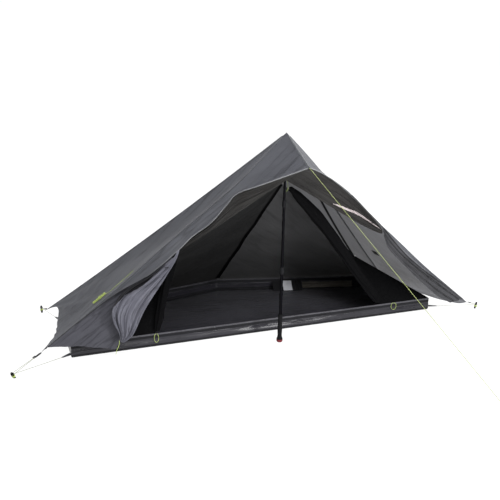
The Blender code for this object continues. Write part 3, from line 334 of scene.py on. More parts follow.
# Rear pull-out: a loop of 2 mm braided cord at the middle of the rear hem, pegged out behind it. It lifts the
# fly clear of the inner tent.
legs = [[REAR_CENTRE + vec(x, 0.0003, 0.0), REAR_CENTRE + vec(x * 1.6, 0.012, -0.004)]
        for x in (-0.0024, 0.0024)]
points = round_peg(legs, peg_turn("rear_centre", REAR_CENTRE + vec(0, 0.0022, 0)), 12)
cord_piece("rear_pull_out", points, CORD, PEG_CORD_SHADED, tuple(points[0]), "rear_loop")

# Peak cord: slack 2.2 mm lime cord from the inner tent's peak up to the apex. Its spare end hangs from the peak
# in a small loop.
INNER_PEAK = np.array((0.0, 0.035, 0.96))
PEAK_CORD = 0.0011
peak = through([INNER_PEAK + vec(0.006, 0.003, 0.006), (0.019, 0.028, 1.0), (0.012, 0.02, 1.1),
                (0.004, 0.0103, 1.2073)])
points = [peak(t) for t in np.linspace(0, 1, 30)]
cord_piece("peak_cord", points, PEAK_CORD, LIME_CORD, tuple(points[0]), "inner_peak_cord")
bight = through([INNER_PEAK + vec(0.003, -0.006, 0.008), INNER_PEAK + vec(0.014, -0.012, 0.022),
                 INNER_PEAK + vec(0.027, -0.016, 0.004), INNER_PEAK + vec(0.03, -0.017, -0.028),
                 INNER_PEAK + vec(0.022, -0.016, -0.045), INNER_PEAK + vec(0.012, -0.014, -0.034),
                 INNER_PEAK + vec(0.009, -0.010, -0.008), INNER_PEAK + vec(0.006, -0.006, 0.004)])
points = [bight(t) for t in np.linspace(0, 1, 40)]
cord_piece("peak_cord_bight", points, PEAK_CORD, LIME_CORD, tuple(points[0]))

# Side guy lines: 1.2 m of 2 mm lime cord on each end panel, put up for this pitch. Each is wound into a hank,
# bound with three turns and left hanging on the cloth.
CLOTH, SEAM, CAP_RING, ROWS, PANEL_SAG, REAR_SAG, HEM_RISE = 0.0015, 0.0005, 0.024, 12, 0.016, 0.014, 0.066
FRONT_SAG = ((0.0, 0.0), (0.1, 0.018), (0.19, 0.04), (0.3, 0.036), (0.45, 0.022), (0.6, 0.022), (0.72, 0.026),
             (0.86, 0.014), (1.0, 0.0))
INSIDE = vec(0.0, 0.3, 0.3)
V0 = CAP_RING / np.linalg.norm((corner("front", 1) - APEX)[:2])
ALL_STEPS = np.concatenate([[0.0], np.linspace(V0, 1.0, ROWS + 1)])


def ridge(end, sag):
    pts = np.array([lerp(APEX, end, v) - vec(0, 0, sag(v)) for v in ALL_STEPS])
    fine = smooth_path(pts, 10)
    share = np.interp(np.arange(len(fine)) / 10, np.arange(len(ALL_STEPS)), ALL_STEPS)
    return lambda v: np.stack([np.interp(v, share, fine[:, k]) for k in range(3)], axis=-1)


def front_sag(v):
    t, d = zip(*FRONT_SAG)
    return float(np.interp(v, t, d))


def rear_sag(v):
    return REAR_SAG * 4 * v * (1 - v)


RIDGE_FRONT = {s: ridge(corner("front", k), front_sag) for s, k in SIDES.items()}
RIDGE_REAR = {s: ridge(corner("rear", k), rear_sag) for s, k in SIDES.items()}
RIDGE_CENTRE = ridge(REAR_CENTRE, rear_sag)


def fly_surface(ra, rb, u, v, normal, slack=0.0):
    a, b = ra(v), rb(v)
    w = np.linalg.norm(b - a)
    p = lerp(a, b, (SEAM + u * (w - 2 * SEAM)) / w)
    low = min(1.0, max(0.0, (v - V0) / (1 - V0)))
    p = p - normal * PANEL_SAG * 4 * u * (1 - u) * math.sin(math.pi * low)
    return p - vec(0, 0, slack * (1 - abs(2 * u - 1) ** 6) * low ** 3)


def panel_normal(ra, rb):
    n = unit(np.cross(ra(1.0) - APEX, rb(1.0) - APEX))
    return n if np.dot(n, ra(1.0) - INSIDE) > 0 else -n


HEM = {"left": (HEM_RISE, 0.0), "right": (0.0, 0.047)}
HANK_LONG, HANK_WIDE, HANK_LOOPS, HANK_WRAPS, HANK_GAP = 0.09, 0.006, 4, 3, 0.0006
for side in SIDES:
    ra, rb = RIDGE_FRONT[side], RIDGE_REAR[side]
    plane = panel_normal(ra, rb)

    def on(u, v, off):
        return fly_surface(ra, rb, u, v, plane, HEM[side][1]) + plane * (CLOTH + off)

    top, c = on(0.16, 0.63, CORD + 0.0008), on(0.135, 0.765, 0.0)
    d = unit(on(0.14, 0.80, 0.0) - on(0.13, 0.73, 0.0))
    up = np.cross(on(0.16, 0.765, 0.0) - on(0.11, 0.765, 0.0), d)
    up = unit(up) * np.sign(np.dot(up, plane))
    d = unit(d - up * np.dot(d, up))
    w = np.cross(up, d)
    far = HANK_LONG / 2 - HANK_WIDE
    pitch = 2 * CORD + HANK_GAP
    clear = pitch + 0.0002
    h0 = clear + CORD + 0.0014

    def at(x, y, z):
        return c + d * x + w * y + up * z

    oval = ([(-far, a) for a in (180, 210, 240, 270)] + [(0, 270)]
            + [(far, a) for a in (270, 300, 330, 0, 30, 60, 90)] + [(0, 90)]
            + [(-far, a) for a in (90, 120, 150)])
    coil = []
    for k in range(HANK_LOOPS * len(oval) + 4):
        x, a = oval[k % len(oval)]
        a = math.radians(a)
        end_turn = HANK_WIDE * math.cos(a) if x else 0.0
        coil.append(at(x + end_turn, HANK_WIDE * math.sin(a), h0 + pitch * k / len(oval)))
    half, bend = pitch * (HANK_LOOPS + 0.3) / 2, 0.0043
    wraps = [(-1, 1, 105), (1, 1, 75), (1, 1, 45), (1, 1, 15), (1, -1, -15), (1, -1, -45), (1, -1, -75),
             (-1, -1, -105), (-1, -1, -135), (-1, -1, -165), (-1, 1, 165), (-1, 1, 135)]
    bind = []
    for k in range(HANK_WRAPS * len(wraps) + 1):
        sx, sz, a = wraps[k % len(wraps)]
        a = math.radians(a)
        bind.append(at(-0.006 + (pitch + 0.0003) * k / len(wraps),
                       sx * (HANK_WIDE + clear - bend) + bend * math.cos(a),
                       h0 + half + sz * (half + clear - bend) + bend * math.sin(a)))
    low = CORD + 0.0016
    start = -far - HANK_WIDE
    tail = straight(top, at(start - 0.03, -0.002, low), 12) + [at(start - 0.012, -0.005, low + 0.0006)]
    coil = coil[3:]
    points = eased(tail + coil + bind, [11, len(tail), len(tail) + len(coil) - 1, len(tail) + len(coil) + 1])
    cord_piece("spare_guy_" + side, points, CORD, LIME_CORD, tuple(top), "side_hank_" + side)

# Pole: a telescoping trekking pole stood on its grip. A turned rubber grip with a knob, three black anodised
# aluminium tubes, and two moulded twist rings that lock them. Its tip stands in the socket under the apex.
def moulded(name, low, high, rough_low, rough_high, grain=700.0, bump=0.00015):
    m, tree, s = shader(name)
    s.inputs["Specular IOR Level"].default_value = 0.1
    where = add(tree, "TexCoord")
    fine = add(tree, "TexNoise", Scale=grain, Detail=4.0)
    link(tree, where.outputs["Object"], fine.inputs["Vector"])
    broad = add(tree, "TexNoise", Scale=grain / 18)
    link(tree, where.outputs["Object"], broad.inputs["Vector"])
    two_tone(tree, s, broad.outputs["Fac"], low, high)
    range_of(tree, broad.outputs["Fac"], rough_low, rough_high, s.inputs["Roughness"])
    dents = add(tree, "Bump", Strength=0.35, Distance=bump)
    link(tree, fine.outputs["Fac"], dents.inputs["Height"])
    link(tree, dents.outputs["Normal"], s.inputs["Normal"])
    return m


def metal(name, low, high, rough_low, rough_high, streak=(900.0, 900.0, 30.0)):
    m, tree, s = shader(name, metal=1.0)
    s.inputs["Specular Tint"].default_value = (0.2, 0.2, 0.21, 1.0)
    where = add(tree, "TexCoord")
    stretch = add(tree, "Mapping", Scale=streak)
    link(tree, where.outputs["Object"], stretch.inputs["Vector"])
    drawn = add(tree, "TexNoise", Scale=1.0, Detail=5.0)
    link(tree, stretch.outputs["Vector"], drawn.inputs["Vector"])
    two_tone(tree, s, drawn.outputs["Fac"], low, high)
    range_of(tree, drawn.outputs["Fac"], rough_low, rough_high, s.inputs["Roughness"])
    lines = add(tree, "Bump", Strength=0.15, Distance=0.00008)
    link(tree, drawn.outputs["Fac"], lines.inputs["Height"])
    link(tree, lines.outputs["Normal"], s.inputs["Normal"])
    return m


def dress(mat, *nodes):
    for n in nodes:
        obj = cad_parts[n]
        obj.data.materials.clear()
        obj.data.materials.append(mat)


def grip_rubber():
    m = moulded("grip_rubber", (0.003, 0.003, 0.0035), (0.008, 0.008, 0.009), 0.6, 0.85)
    tree = m.node_tree
    s = tree.nodes["Principled BSDF"]
    where = add(tree, "TexCoord")
    split = add(tree, "SeparateXYZ")
    link(tree, where.outputs["Object"], split.inputs["Vector"])
    height = tree.nodes.new("ShaderNodeValToRGB")
    stops = height.color_ramp.elements
    stops[0].position, stops[0].color = 0.0, (0.16, 0.03, 0.035, 1)
    stops[1].position, stops[1].color = 0.016, (0.16, 0.03, 0.035, 1)
    cut = stops.new(0.018)
    cut.color = (0.004, 0.004, 0.0045, 1)
    link(tree, split.outputs["Z"], height.inputs["Fac"])
    mix = add(tree, "Mix", data_type="RGBA", blend_type="ADD", Factor=0.6)
    ramp = [n for n in tree.nodes if n.type == "VALTORGB" and n != height][0]
    link(tree, height.outputs["Color"], mix.inputs["A"])
    link(tree, ramp.outputs["Color"], mix.inputs["B"])
    link(tree, mix.outputs["Result"], s.inputs["Base Color"])
    return m


dress(grip_rubber(), "pole_grip")
dress(metal("black_anodised_tube", (0.004, 0.004, 0.005), (0.011, 0.011, 0.013), 0.34, 0.5),
      "pole_shaft_grip", "pole_shaft_middle", "pole_shaft_tip")
dress(moulded("lock_ring_plastic", (0.006, 0.006, 0.007), (0.014, 0.014, 0.016), 0.5, 0.7),
      "pole_lock_lower", "pole_lock_upper")

# Pegs: three-fin aluminium stakes with a tapered point and a round collar, black anodised and worn paler in
# streaks. They are pushed into the soil at a lean, away from the tent.
dress(metal("peg_anodised", (0.012, 0.012, 0.014), (0.07, 0.07, 0.075), 0.3, 0.6, (400.0, 400.0, 120.0)),
      *["peg_" + key for key in PEG_GROUND])

# Apex: a black moulded cap inside the top of the fly, where its panels meet. The socket in it takes the
# pole's tip.
dress(moulded("apex_plastic", (0.010, 0.010, 0.011), (0.024, 0.024, 0.026), 0.4, 0.65),
      "apex_cap", "apex_socket")

# Fly: silicone-coated polyester in dark grey, cut in panels with hollow edges and sewn with flat-felled seams.
# The panels are pulled tight between the pole and the pegs, so they bow inwards and pucker along their seams.
FLY_DARK, FLY_LIGHT = (0.095, 0.098, 0.113), (0.128, 0.132, 0.151)
FLY_CLOTH = 0.0006


# At scale 1 the bands of a wave texture lie this far apart.
BAND_PITCH = 0.314


def woven(name, low, high, thread=0.0011, through_light=0.0, light_colour=(0.2, 0.2, 0.21), sheen=0.05,
          rough=(0.5, 0.72), gloss=0.12, weave_bump=0.00010, crease=0.00035, folds=(16.0, 1.6), crease_shade_strength=0.45):
    m, tree, s = shader(name)
    s.inputs["Specular IOR Level"].default_value = gloss
    s.inputs["Sheen Weight"].default_value = sheen
    s.inputs["Sheen Roughness"].default_value = 0.5
    cloth = add(tree, "UVMap", uv_map="cloth")
    threads = []
    for direction in ("X", "Y"):
        w = add(tree, "TexWave", wave_type="BANDS", bands_direction=direction,
                Scale=BAND_PITCH / thread, Distortion=0.6, Detail=1.0)
        link(tree, cloth.outputs["UV"], w.inputs["Vector"])
        threads.append(w)
    cross = add(tree, "Math", operation="MULTIPLY")
    link(tree, threads[0].outputs["Fac"], cross.inputs[0])
    link(tree, threads[1].outputs["Fac"], cross.inputs[1])
    where = add(tree, "TexCoord")
    broad = add(tree, "TexNoise", Scale=7.0, Detail=6.0, Roughness=0.62)
    link(tree, where.outputs["Object"], broad.inputs["Vector"])
    blend = add(tree, "Math", operation="MULTIPLY_ADD")
    blend.inputs[1].default_value = 0.25
    link(tree, cross.outputs[0], blend.inputs[0])
    link(tree, broad.outputs["Fac"], blend.inputs[2])
    ramp = two_tone(tree, s, blend.outputs[0], low, high)
    ramp.color_ramp.elements[0].position = 0.35
    ramp.color_ramp.elements[1].position = 0.85
    range_of(tree, broad.outputs["Fac"], rough[0], rough[1], s.inputs["Roughness"])
    stretch = add(tree, "Mapping", Scale=(*folds, 1.0))
    link(tree, cloth.outputs["UV"], stretch.inputs["Vector"])
    lines = add(tree, "TexNoise", Scale=1.0, Detail=3.0, Distortion=0.4)
    link(tree, stretch.outputs["Vector"], lines.inputs["Vector"])
    middle = add(tree, "Math", operation="SUBTRACT")
    middle.inputs[1].default_value = 0.5
    link(tree, lines.outputs["Fac"], middle.inputs[0])
    near = add(tree, "Math", operation="ABSOLUTE")
    link(tree, middle.outputs[0], near.inputs[0])
    ridge_line = add(tree, "MapRange", From_Max=0.028, To_Min=1.0, To_Max=0.0)
    link(tree, near.outputs[0], ridge_line.inputs["Value"])
    # Painted shade: the colour is darkened along thin lines of stretched noise, for the shade that lies in the
    # cloth's creases.
    crease_shade_mix = add(tree, "Mix", data_type="RGBA", blend_type="MULTIPLY")
    fade = add(tree, "Math", operation="MULTIPLY")
    fade.inputs[1].default_value = crease_shade_strength
    link(tree, ridge_line.outputs["Result"], fade.inputs[0])
    link(tree, fade.outputs[0], crease_shade_mix.inputs["Factor"])
    link(tree, ramp.outputs["Color"], crease_shade_mix.inputs["A"])
    crease_shade_mix.inputs["B"].default_value = (0.25, 0.25, 0.26, 1.0)
    link(tree, crease_shade_mix.outputs["Result"], s.inputs["Base Color"])
    fine = add(tree, "Bump", Strength=0.5, Distance=weave_bump)
    link(tree, cross.outputs[0], fine.inputs["Height"])
    rumple = add(tree, "TexNoise", Scale=26.0, Detail=5.0, Roughness=0.55)
    link(tree, where.outputs["Object"], rumple.inputs["Vector"])
    coarse = add(tree, "Bump", Strength=0.6, Distance=crease)
    link(tree, rumple.outputs["Fac"], coarse.inputs["Height"])
    link(tree, fine.outputs["Normal"], coarse.inputs["Normal"])
    sharp = add(tree, "Bump", invert=True, Strength=0.8, Distance=0.002)
    link(tree, ridge_line.outputs["Result"], sharp.inputs["Height"])
    link(tree, coarse.outputs["Normal"], sharp.inputs["Normal"])
    link(tree, sharp.outputs["Normal"], s.inputs["Normal"])
    if through_light:
        t = add(tree, "BsdfTranslucent", Color=(*light_colour, 1.0))
        link(tree, coarse.outputs["Normal"], t.inputs["Normal"])
        mix = add(tree, "MixShader", Fac=through_light)
        link(tree, s.outputs[0], mix.inputs[1])
        link(tree, t.outputs[0], mix.inputs[2])
        link(tree, mix.outputs[0], tree.nodes["Material Output"].inputs["Surface"])
    return m


FLY_MAT = woven("coated_fly_cloth", FLY_DARK, FLY_LIGHT, through_light=0.34, light_colour=(0.735, 0.735, 0.75),
                folds=(14.0, 1.1), crease_shade_strength=0.7)


def normals_of(g):
    du = np.gradient(g, axis=1)
    dv = np.gradient(g, axis=0)
    n = np.cross(du, dv)
    size = np.linalg.norm(n, axis=2, keepdims=True)
    return n / np.where(size < 1e-12, 1.0, size)


def metric(g):
    """Distances along the rows and down the columns of a grid, for the weave."""
    across, down = (np.cumsum(np.linalg.norm(np.diff(g, axis=k), axis=2), axis=k) for k in (1, 0))
    u = np.concatenate([np.zeros((g.shape[0], 1)), across], axis=1)
    v = np.concatenate([np.zeros((1, g.shape[1])), down], axis=0)
    return u, v


def cloth_mesh(name, grid, thick, mat, outward, hems=(), hem_wide=0.011, hem_more=0.0007, lift=0.5):
    """A closed sheet of cloth on a grid of points. hems names the edges that are folded and sewn."""
    g = np.array(grid, float)
    rows, cols = g.shape[:2]
    n = normals_of(g)
    centre = g.reshape(-1, 3).mean(0)
    if callable(outward):
        sign = outward(g, n)
    else:
        sign = 1.0 if np.dot(n.reshape(-1, 3).mean(0), vec(outward)) > 0 else -1.0
    n = n * sign
    um, vm = metric(g)
    t = np.full((rows, cols), thick)
    near = {"left": um, "right": um[:, -1:] - um, "top": vm, "bottom": vm[-1:, :] - vm}
    for edge in hems:
        fold = np.clip((hem_wide - near[edge]) / 0.0015, 0.0, 1.0)
        t = np.maximum(t, thick + hem_more * fold)
    outer = g + n * (t * lift)[..., None]
    inner = g - n * (t * (1 - lift))[..., None]
    verts = np.concatenate([outer.reshape(-1, 3), inner.reshape(-1, 3)])
    shift = rows * cols
    at = lambda i, j: i * cols + j
    faces = []
    for i in range(rows - 1):
        for j in range(cols - 1):
            q = (at(i, j), at(i, j + 1), at(i + 1, j + 1), at(i + 1, j))
            faces.append(q if sign > 0 else q[::-1])
            back = tuple(k + shift for k in q)
            faces.append(back[::-1] if sign > 0 else back)
    rim = [(at(0, j), at(0, j + 1)) for j in range(cols - 1)]
    rim += [(at(i, cols - 1), at(i + 1, cols - 1)) for i in range(rows - 1)]
    rim += [(at(rows - 1, j), at(rows - 1, j - 1)) for j in range(cols - 1, 0, -1)]
    rim += [(at(i, 0), at(i - 1, 0)) for i in range(rows - 1, 0, -1)]
    for a, b in rim:
        q = (b, a, a + shift, b + shift)
        faces.append(q if sign > 0 else q[::-1])
    mesh = bpy.data.meshes.new(name)
    mesh.from_pydata(verts.tolist(), [], faces)
    uv = mesh.uv_layers.new(name="cloth")
    flat = np.stack([um, vm], axis=2).reshape(-1, 2)
    flat = np.concatenate([flat, flat])
    index = np.zeros(len(mesh.loops), int)
    mesh.loops.foreach_get("vertex_index", index)
    uv.data.foreach_set("uv", flat[index].ravel())
    mesh.materials.append(mat)
    mesh.shade_smooth()
    mesh.set_sharp_from_angle(angle=math.radians(50.0))
    obj = bpy.data.objects.new(name, mesh)
    bpy.context.collection.objects.link(obj)
    return obj


def cloth_piece(name, grid, mat, outward, replaced, held, rests_on, slot, flat, hems=(), thick=FLY_CLOTH,
                **more):
    """A sheet of cloth that stands for solids of the frame, which it hides."""
    obj = cloth_mesh(name, grid, thick, mat, outward, hems, **more)
    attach(obj, "tent")
    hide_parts(*replaced)
    return obj


def trim(obj):
    """A piece of trim that the frame has no solid for: it moves with the tent."""
    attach(obj, "tent")
    return obj


def waves(x, seed, parts=4):
    """A smooth uneven wave along x, from a few sines with seeded phases."""
    rng = np.random.RandomState(seed)
    total = np.zeros_like(x)
    for k in range(parts):
        total += np.sin(2 * np.pi * (x * rng.uniform(0.6, 1.7) + rng.uniform())) * rng.uniform(0.4, 1.0)
    return total / parts * 1.6


def tension(g, centre, reach, height, count, seed):
    """Fine folds that run out from a pulled corner and die away."""
    d = g - vec(centre)
    r = np.linalg.norm(d, axis=2)
    n = normals_of(g)
    axis = unit(n.reshape(-1, 3).mean(0))
    x = unit(np.cross(axis, (0.3, 0.9, 0.2)))
    y = np.cross(axis, x)
    angle = np.arctan2(d @ y, d @ x) / (2 * np.pi)
    rise = (r / reach) * np.exp(1 - r / reach)
    return height * rise * waves(angle * count, seed)


def pucker(away, along, pitch, height, reach, seed):
    """Small puckers across a seam: away is the distance from it and along the distance on it."""
    return height * np.exp(-away / reach) * waves(along / pitch, seed)


def off_edges(run, whole, reach):
    """0 at both edges of a sheet, and 1 from a given reach inwards."""
    return np.clip(np.minimum(run, whole - run) / reach, 0, 1)


def displaced(g, amount):
    return g + normals_of(g) * amount[..., None]


def steps_with_hem(count, length, hem=0.011, ends=(True, True)):
    base = np.linspace(0, 1, count)
    extra = []
    for k, flag in enumerate(ends):
        if flag:
            for d in (hem - 0.0017, hem, hem + 0.0017):
                extra.append(d / length if k == 0 else 1 - d / length)
    return np.unique(np.round(np.concatenate([base, extra]), 6))


for side, s in SIDES.items():
    for kind in ("end", "rear"):
        if kind == "end":
            ra, rb, (rise, slack) = RIDGE_FRONT[side], RIDGE_REAR[side], HEM[side]
        else:
            ra, rb, rise, slack = RIDGE_REAR[side], RIDGE_CENTRE, HEM_RISE * 0.7, 0.0
        plane = panel_normal(ra, rb)
        drop = APEX[2] - 0.08
        us = np.linspace(0, 1, 61)
        vs = steps_with_hem(74, 1.5, ends=(False, True))
        grid = np.zeros((len(vs), len(us), 3))
        for j, u in enumerate(us):
            end = 1.0 - rise * (1 - abs(2 * u - 1) ** 6) / drop
            for i, v in enumerate(vs):
                grid[i, j] = fly_surface(ra, rb, u, V0 + v * (end - V0), plane, slack)
        grid = grid + plane * (CLOTH / 2)
        um, vm = metric(grid)
        wide = um[:, -1:]
        calm = off_edges(um, wide, 0.03) * np.clip(vm / 0.1, 0, 1)
        seed = 11 + 7 * (s > 0) + 3 * (kind == "rear")
        h = (pucker(um, vm, pitch=0.045, height=0.0011, reach=0.028, seed=seed)
             + pucker(wide - um, vm, pitch=0.05, height=0.0011, reach=0.03, seed=seed + 1))
        h = h * off_edges(um, wide, 0.006)
        h += tension(grid, ra(1.0), reach=0.30, height=0.0045, count=26, seed=seed + 2) * calm
        h += tension(grid, rb(1.0), reach=0.34, height=0.0055, count=26, seed=seed + 3) * calm
        h += tension(grid, APEX, reach=0.22, height=0.0014, count=30, seed=seed + 4) * calm
        h += 0.0022 * waves(um / 0.33 + vm / 0.8, seed + 5) * calm
        grid = displaced(grid, h)
        flat = (0.72 if s < 0 else 0.82, 1.68) if kind == "end" else (1.29, 1.68)
        cloth_piece("fly_%s_panel_%s" % (kind, side), grid, FLY_MAT, tuple(plane),
                    ("fly_%s_%s" % (kind, side),), "stretched",
                    ["apex_cap", "peg_front_" + side, "peg_rear_" + side], "fly_cloth", flat,
                    hems=("bottom",), lift=0.6)

# Inside of the fly: a strip of black seam tape down each rear panel beside the ridge, and a black cloth patch
# on each end panel where it can be guyed out.
TAPE_THICK, PATCH_THICK = 0.0005, 0.0008
TAPE_MAT = woven("black_seam_tape", (0.010, 0.010, 0.011), (0.020, 0.020, 0.022))
for side, s in SIDES.items():
    ra, rb, re = RIDGE_REAR[side], RIDGE_CENTRE, RIDGE_FRONT[side]
    rear_n, end_n = panel_normal(ra, rb), panel_normal(re, ra)
    grid = [[fly_surface(ra, rb, u + d / np.linalg.norm(ra(v) - rb(v)), v, rear_n) - rear_n * 0.0052
             for d in np.linspace(-0.0075, 0.0075, 5)]
            for u, v in zip(np.linspace(0.116, 0.09, 60), np.linspace(0.28, 0.97, 60))]
    inside = cloth_mesh("inside_seam_tape_" + side, grid, TAPE_THICK, TAPE_MAT, tuple(-rear_n))
    grid = [[fly_surface(re, ra, u, v, end_n, HEM[side][1]) - end_n * 0.005
             for u in np.linspace(0.655, 0.745, 12)] for v in np.linspace(0.703, 0.733, 8)]
    patch = cloth_mesh("guy_patch_" + side, grid, PATCH_THICK, TAPE_MAT, tuple(-end_n))
    for piece in (inside, patch):
        trim(piece)

# Hood: the front of the fly, two panels of the same cloth that reach forward over the doorway. They meet in a
# seam down the middle and end in a rolled hem.
HOOD_LEFT = ((-0.207, -0.14, 0.988), (-0.319, -0.06, 0.93), (-0.385, -0.065, 0.868), (-0.475, -0.075, 0.782),
             (-0.575, -0.05, 0.706), (-0.651, -0.048, 0.638), (-0.817, -0.025, 0.502), (-0.977, 0.046, 0.395),
             (-1.168, 0.091, 0.248))
HOOD_RIGHT = ((0.148, -0.162, 1.039), (0.313, -0.061, 0.955), (0.442, -0.022, 0.867), (0.533, -0.053, 0.773),
              (0.651, -0.048, 0.668), (0.82, -0.035, 0.5), (0.98, -0.015, 0.375), (1.19, 0.01, 0.235))
U0 = CAP_RING / np.linalg.norm((HOOD_TIP - APEX)[:2])


def hood_edge(side):
    end = corner("front", SIDES[side])
    curve = through([HOOD_TIP, *(HOOD_LEFT if side == "left" else HOOD_RIGHT), end])
    fine = curve(np.linspace(0, 1, 600))
    share = np.maximum.accumulate(np.abs(fine[:, 0]) / abs(end[0]))
    return lambda v: np.stack([np.interp(v, share, fine[:, k]) for k in range(3)], axis=-1)


HOOD_EDGE = {s: hood_edge(s) for s in SIDES}
for side, s in SIDES.items():
    vs = np.unique(np.concatenate([[0.0], np.linspace(V0, 0.985, 90)]))
    us = np.unique(np.concatenate([[0.0], np.linspace(U0, 1.0, 30), [0.99, 0.975]]))
    grid = np.zeros((len(vs), len(us), 3))
    for i, v in enumerate(vs):
        a, b = RIDGE_FRONT[side](v), HOOD_EDGE[side](v)
        if v == 0.0:
            a, b = APEX + vec(s * SEAM, 0, 0), HOOD_TIP + vec(s * SEAM, 0, 0)
        w = np.linalg.norm(b - a)
        inset = 0.0 if v == 0.0 else SEAM
        for j, u in enumerate(us):
            t = max(u, inset / w)
            dip = 0.006 * math.sin(math.pi * min(v, 1.0)) * (4 * t * (1 - t)) ** 3
            grid[i, j] = lerp(a, b, t) + vec(0, 0.35, -1) * dip
    n = normals_of(grid)
    up = 1.0 if n.reshape(-1, 3).mean(0)[2] > 0 else -1.0
    grid = grid + n * up * (CLOTH / 2)
    um, vm = metric(grid)
    wide = um[:, -1:]
    calm = off_edges(um, wide, 0.03) * np.clip(vm / 0.05, 0, 1)
    h = pucker(um, vm, pitch=0.05, height=0.0012, reach=0.03, seed=41 + s) * np.clip(um / 0.006, 0, 1)
    h += (pucker(wide - um, vm, pitch=0.07, height=0.0013, reach=0.035, seed=43 + s)
          * np.clip((wide - um) / 0.01, 0, 1))
    h += tension(grid, HOOD_TIP, reach=0.2, height=0.0018, count=22, seed=45 + s) * calm
    h += tension(grid, HOOD_EDGE[side](0.47), reach=0.12, height=0.0022, count=20, seed=47 + s) * calm
    h += 0.0016 * waves(um / 0.12 + vm / 0.7, 49 + s) * calm
    grid = displaced(grid, h * up)
    cloth_piece("fly_hood_panel_" + side, grid, FLY_MAT, (0, -0.2, 1), ("fly_hood_" + side,), "stretched",
                ["apex_cap", "peg_front_" + side], "fly_cloth", (0.32 if s < 0 else 0.24, 1.75), lift=0.6)


# Seams and hems of the fly: flat-felled seams of the fly's cloth on the ridges and down the middles, stitched
# in rows, and a rolled hem on the hood's edge. The hem is pale on its upper part, a painted highlight, and dark
# lower down, a painted shadow.
SEAM_WIDE, SEAM_UP, SEAM_CLOTH = 0.0075, 0.0011, 0.0005
SEAM_CREST, SEAM_TURN, SEAM_EDGE = 0.002, 0.0015, 0.0007


def tape(name, path, left, right, mat, steps=90, start=0.0, end=1.0):
    """A strip over a fold: left and right give a point beside the fold, each on its own panel."""
    ts = np.linspace(start, end, steps)
    grid = np.zeros((steps, 7, 3))
    for i, t in enumerate(ts):
        c, a, b = path(t), left(t), right(t)
        da, db = unit(a - c), unit(b - c)
        along = unit(path(min(end, t + 0.01)) - path(max(start, t - 0.01)))
        na, nb = unit(np.cross(along, da)), unit(np.cross(db, along))
        if np.dot(na + nb, c - INSIDE) < 0:
            na, nb = -na, -nb
        nm = unit(na + nb)
        lift = CLOTH + SEAM_UP
        grid[i] = [c + da * SEAM_WIDE + na * (lift - SEAM_EDGE), c + da * (SEAM_WIDE - SEAM_TURN) + na * lift,
                   c + da * SEAM_CREST + na * lift, c + nm * (lift + 0.0001), c + db * SEAM_CREST + nb * lift,
                   c + db * (SEAM_WIDE - SEAM_TURN) + nb * lift, c + db * SEAM_WIDE + nb * (lift - SEAM_EDGE)]

    def outwards(g, n):
        return 1.0 if np.mean(np.sum(n * (g - INSIDE), axis=2)) > 0 else -1.0

    return trim(cloth_mesh(name, grid, SEAM_CLOTH, mat, outwards))


def stitched(name, low, high, pitch=0.0032, row=0.005, **more):
    m = woven(name, low, high, rough=(0.45, 0.65), **more)
    tree = m.node_tree
    s = tree.nodes["Principled BSDF"]
    cloth = add(tree, "UVMap", uv_map="cloth")
    split = add(tree, "SeparateXYZ")
    link(tree, cloth.outputs["UV"], split.inputs["Vector"])
    run = add(tree, "Math", operation="MULTIPLY")
    run.inputs[1].default_value = 1.0 / pitch
    link(tree, split.outputs["Y"], run.inputs[0])
    part = add(tree, "Math", operation="FRACT")
    link(tree, run.outputs[0], part.inputs[0])
    on_stitch = add(tree, "Math", operation="LESS_THAN")
    on_stitch.inputs[1].default_value = 0.7
    link(tree, part.outputs[0], on_stitch.inputs[0])
    side_run = add(tree, "Math", operation="MULTIPLY")
    side_run.inputs[1].default_value = 1.0 / row
    link(tree, split.outputs["X"], side_run.inputs[0])
    side_part = add(tree, "Math", operation="FRACT")
    link(tree, side_run.outputs[0], side_part.inputs[0])
    on_row = add(tree, "Math", operation="LESS_THAN")
    on_row.inputs[1].default_value = 0.14
    link(tree, side_part.outputs[0], on_row.inputs[0])
    both = add(tree, "Math", operation="MULTIPLY")
    link(tree, on_stitch.outputs[0], both.inputs[0])
    link(tree, on_row.outputs[0], both.inputs[1])
    last = [n for n in tree.nodes if n.type == "BUMP"][-1]
    thread = add(tree, "Bump", Strength=0.8, Distance=0.0004)
    link(tree, both.outputs[0], thread.inputs["Height"])
    link(tree, last.outputs["Normal"], thread.inputs["Normal"])
    link(tree, thread.outputs["Normal"], s.inputs["Normal"])
    return m


SEAM_MAT = stitched("felled_seam", (0.085, 0.089, 0.098), (0.115, 0.119, 0.13))
# Painted highlight on the pale hem and painted shadow on the dark hem: two copies of one hem cloth.
HEM_HIGHLIGHT_MAT = stitched("rolled_hem", (0.17, 0.175, 0.185), (0.26, 0.265, 0.275))
HEM_SHADOW_MAT = stitched("rolled_hem_painted_shadow", (0.03, 0.031, 0.035), (0.06, 0.061, 0.066))


BESIDE = 0.03


def beside(ra, rb, v, normal):
    a, b = ra(v), rb(v)
    w = np.linalg.norm(b - a)
    return fly_surface(ra, rb, min(0.4, BESIDE / w), v, normal)


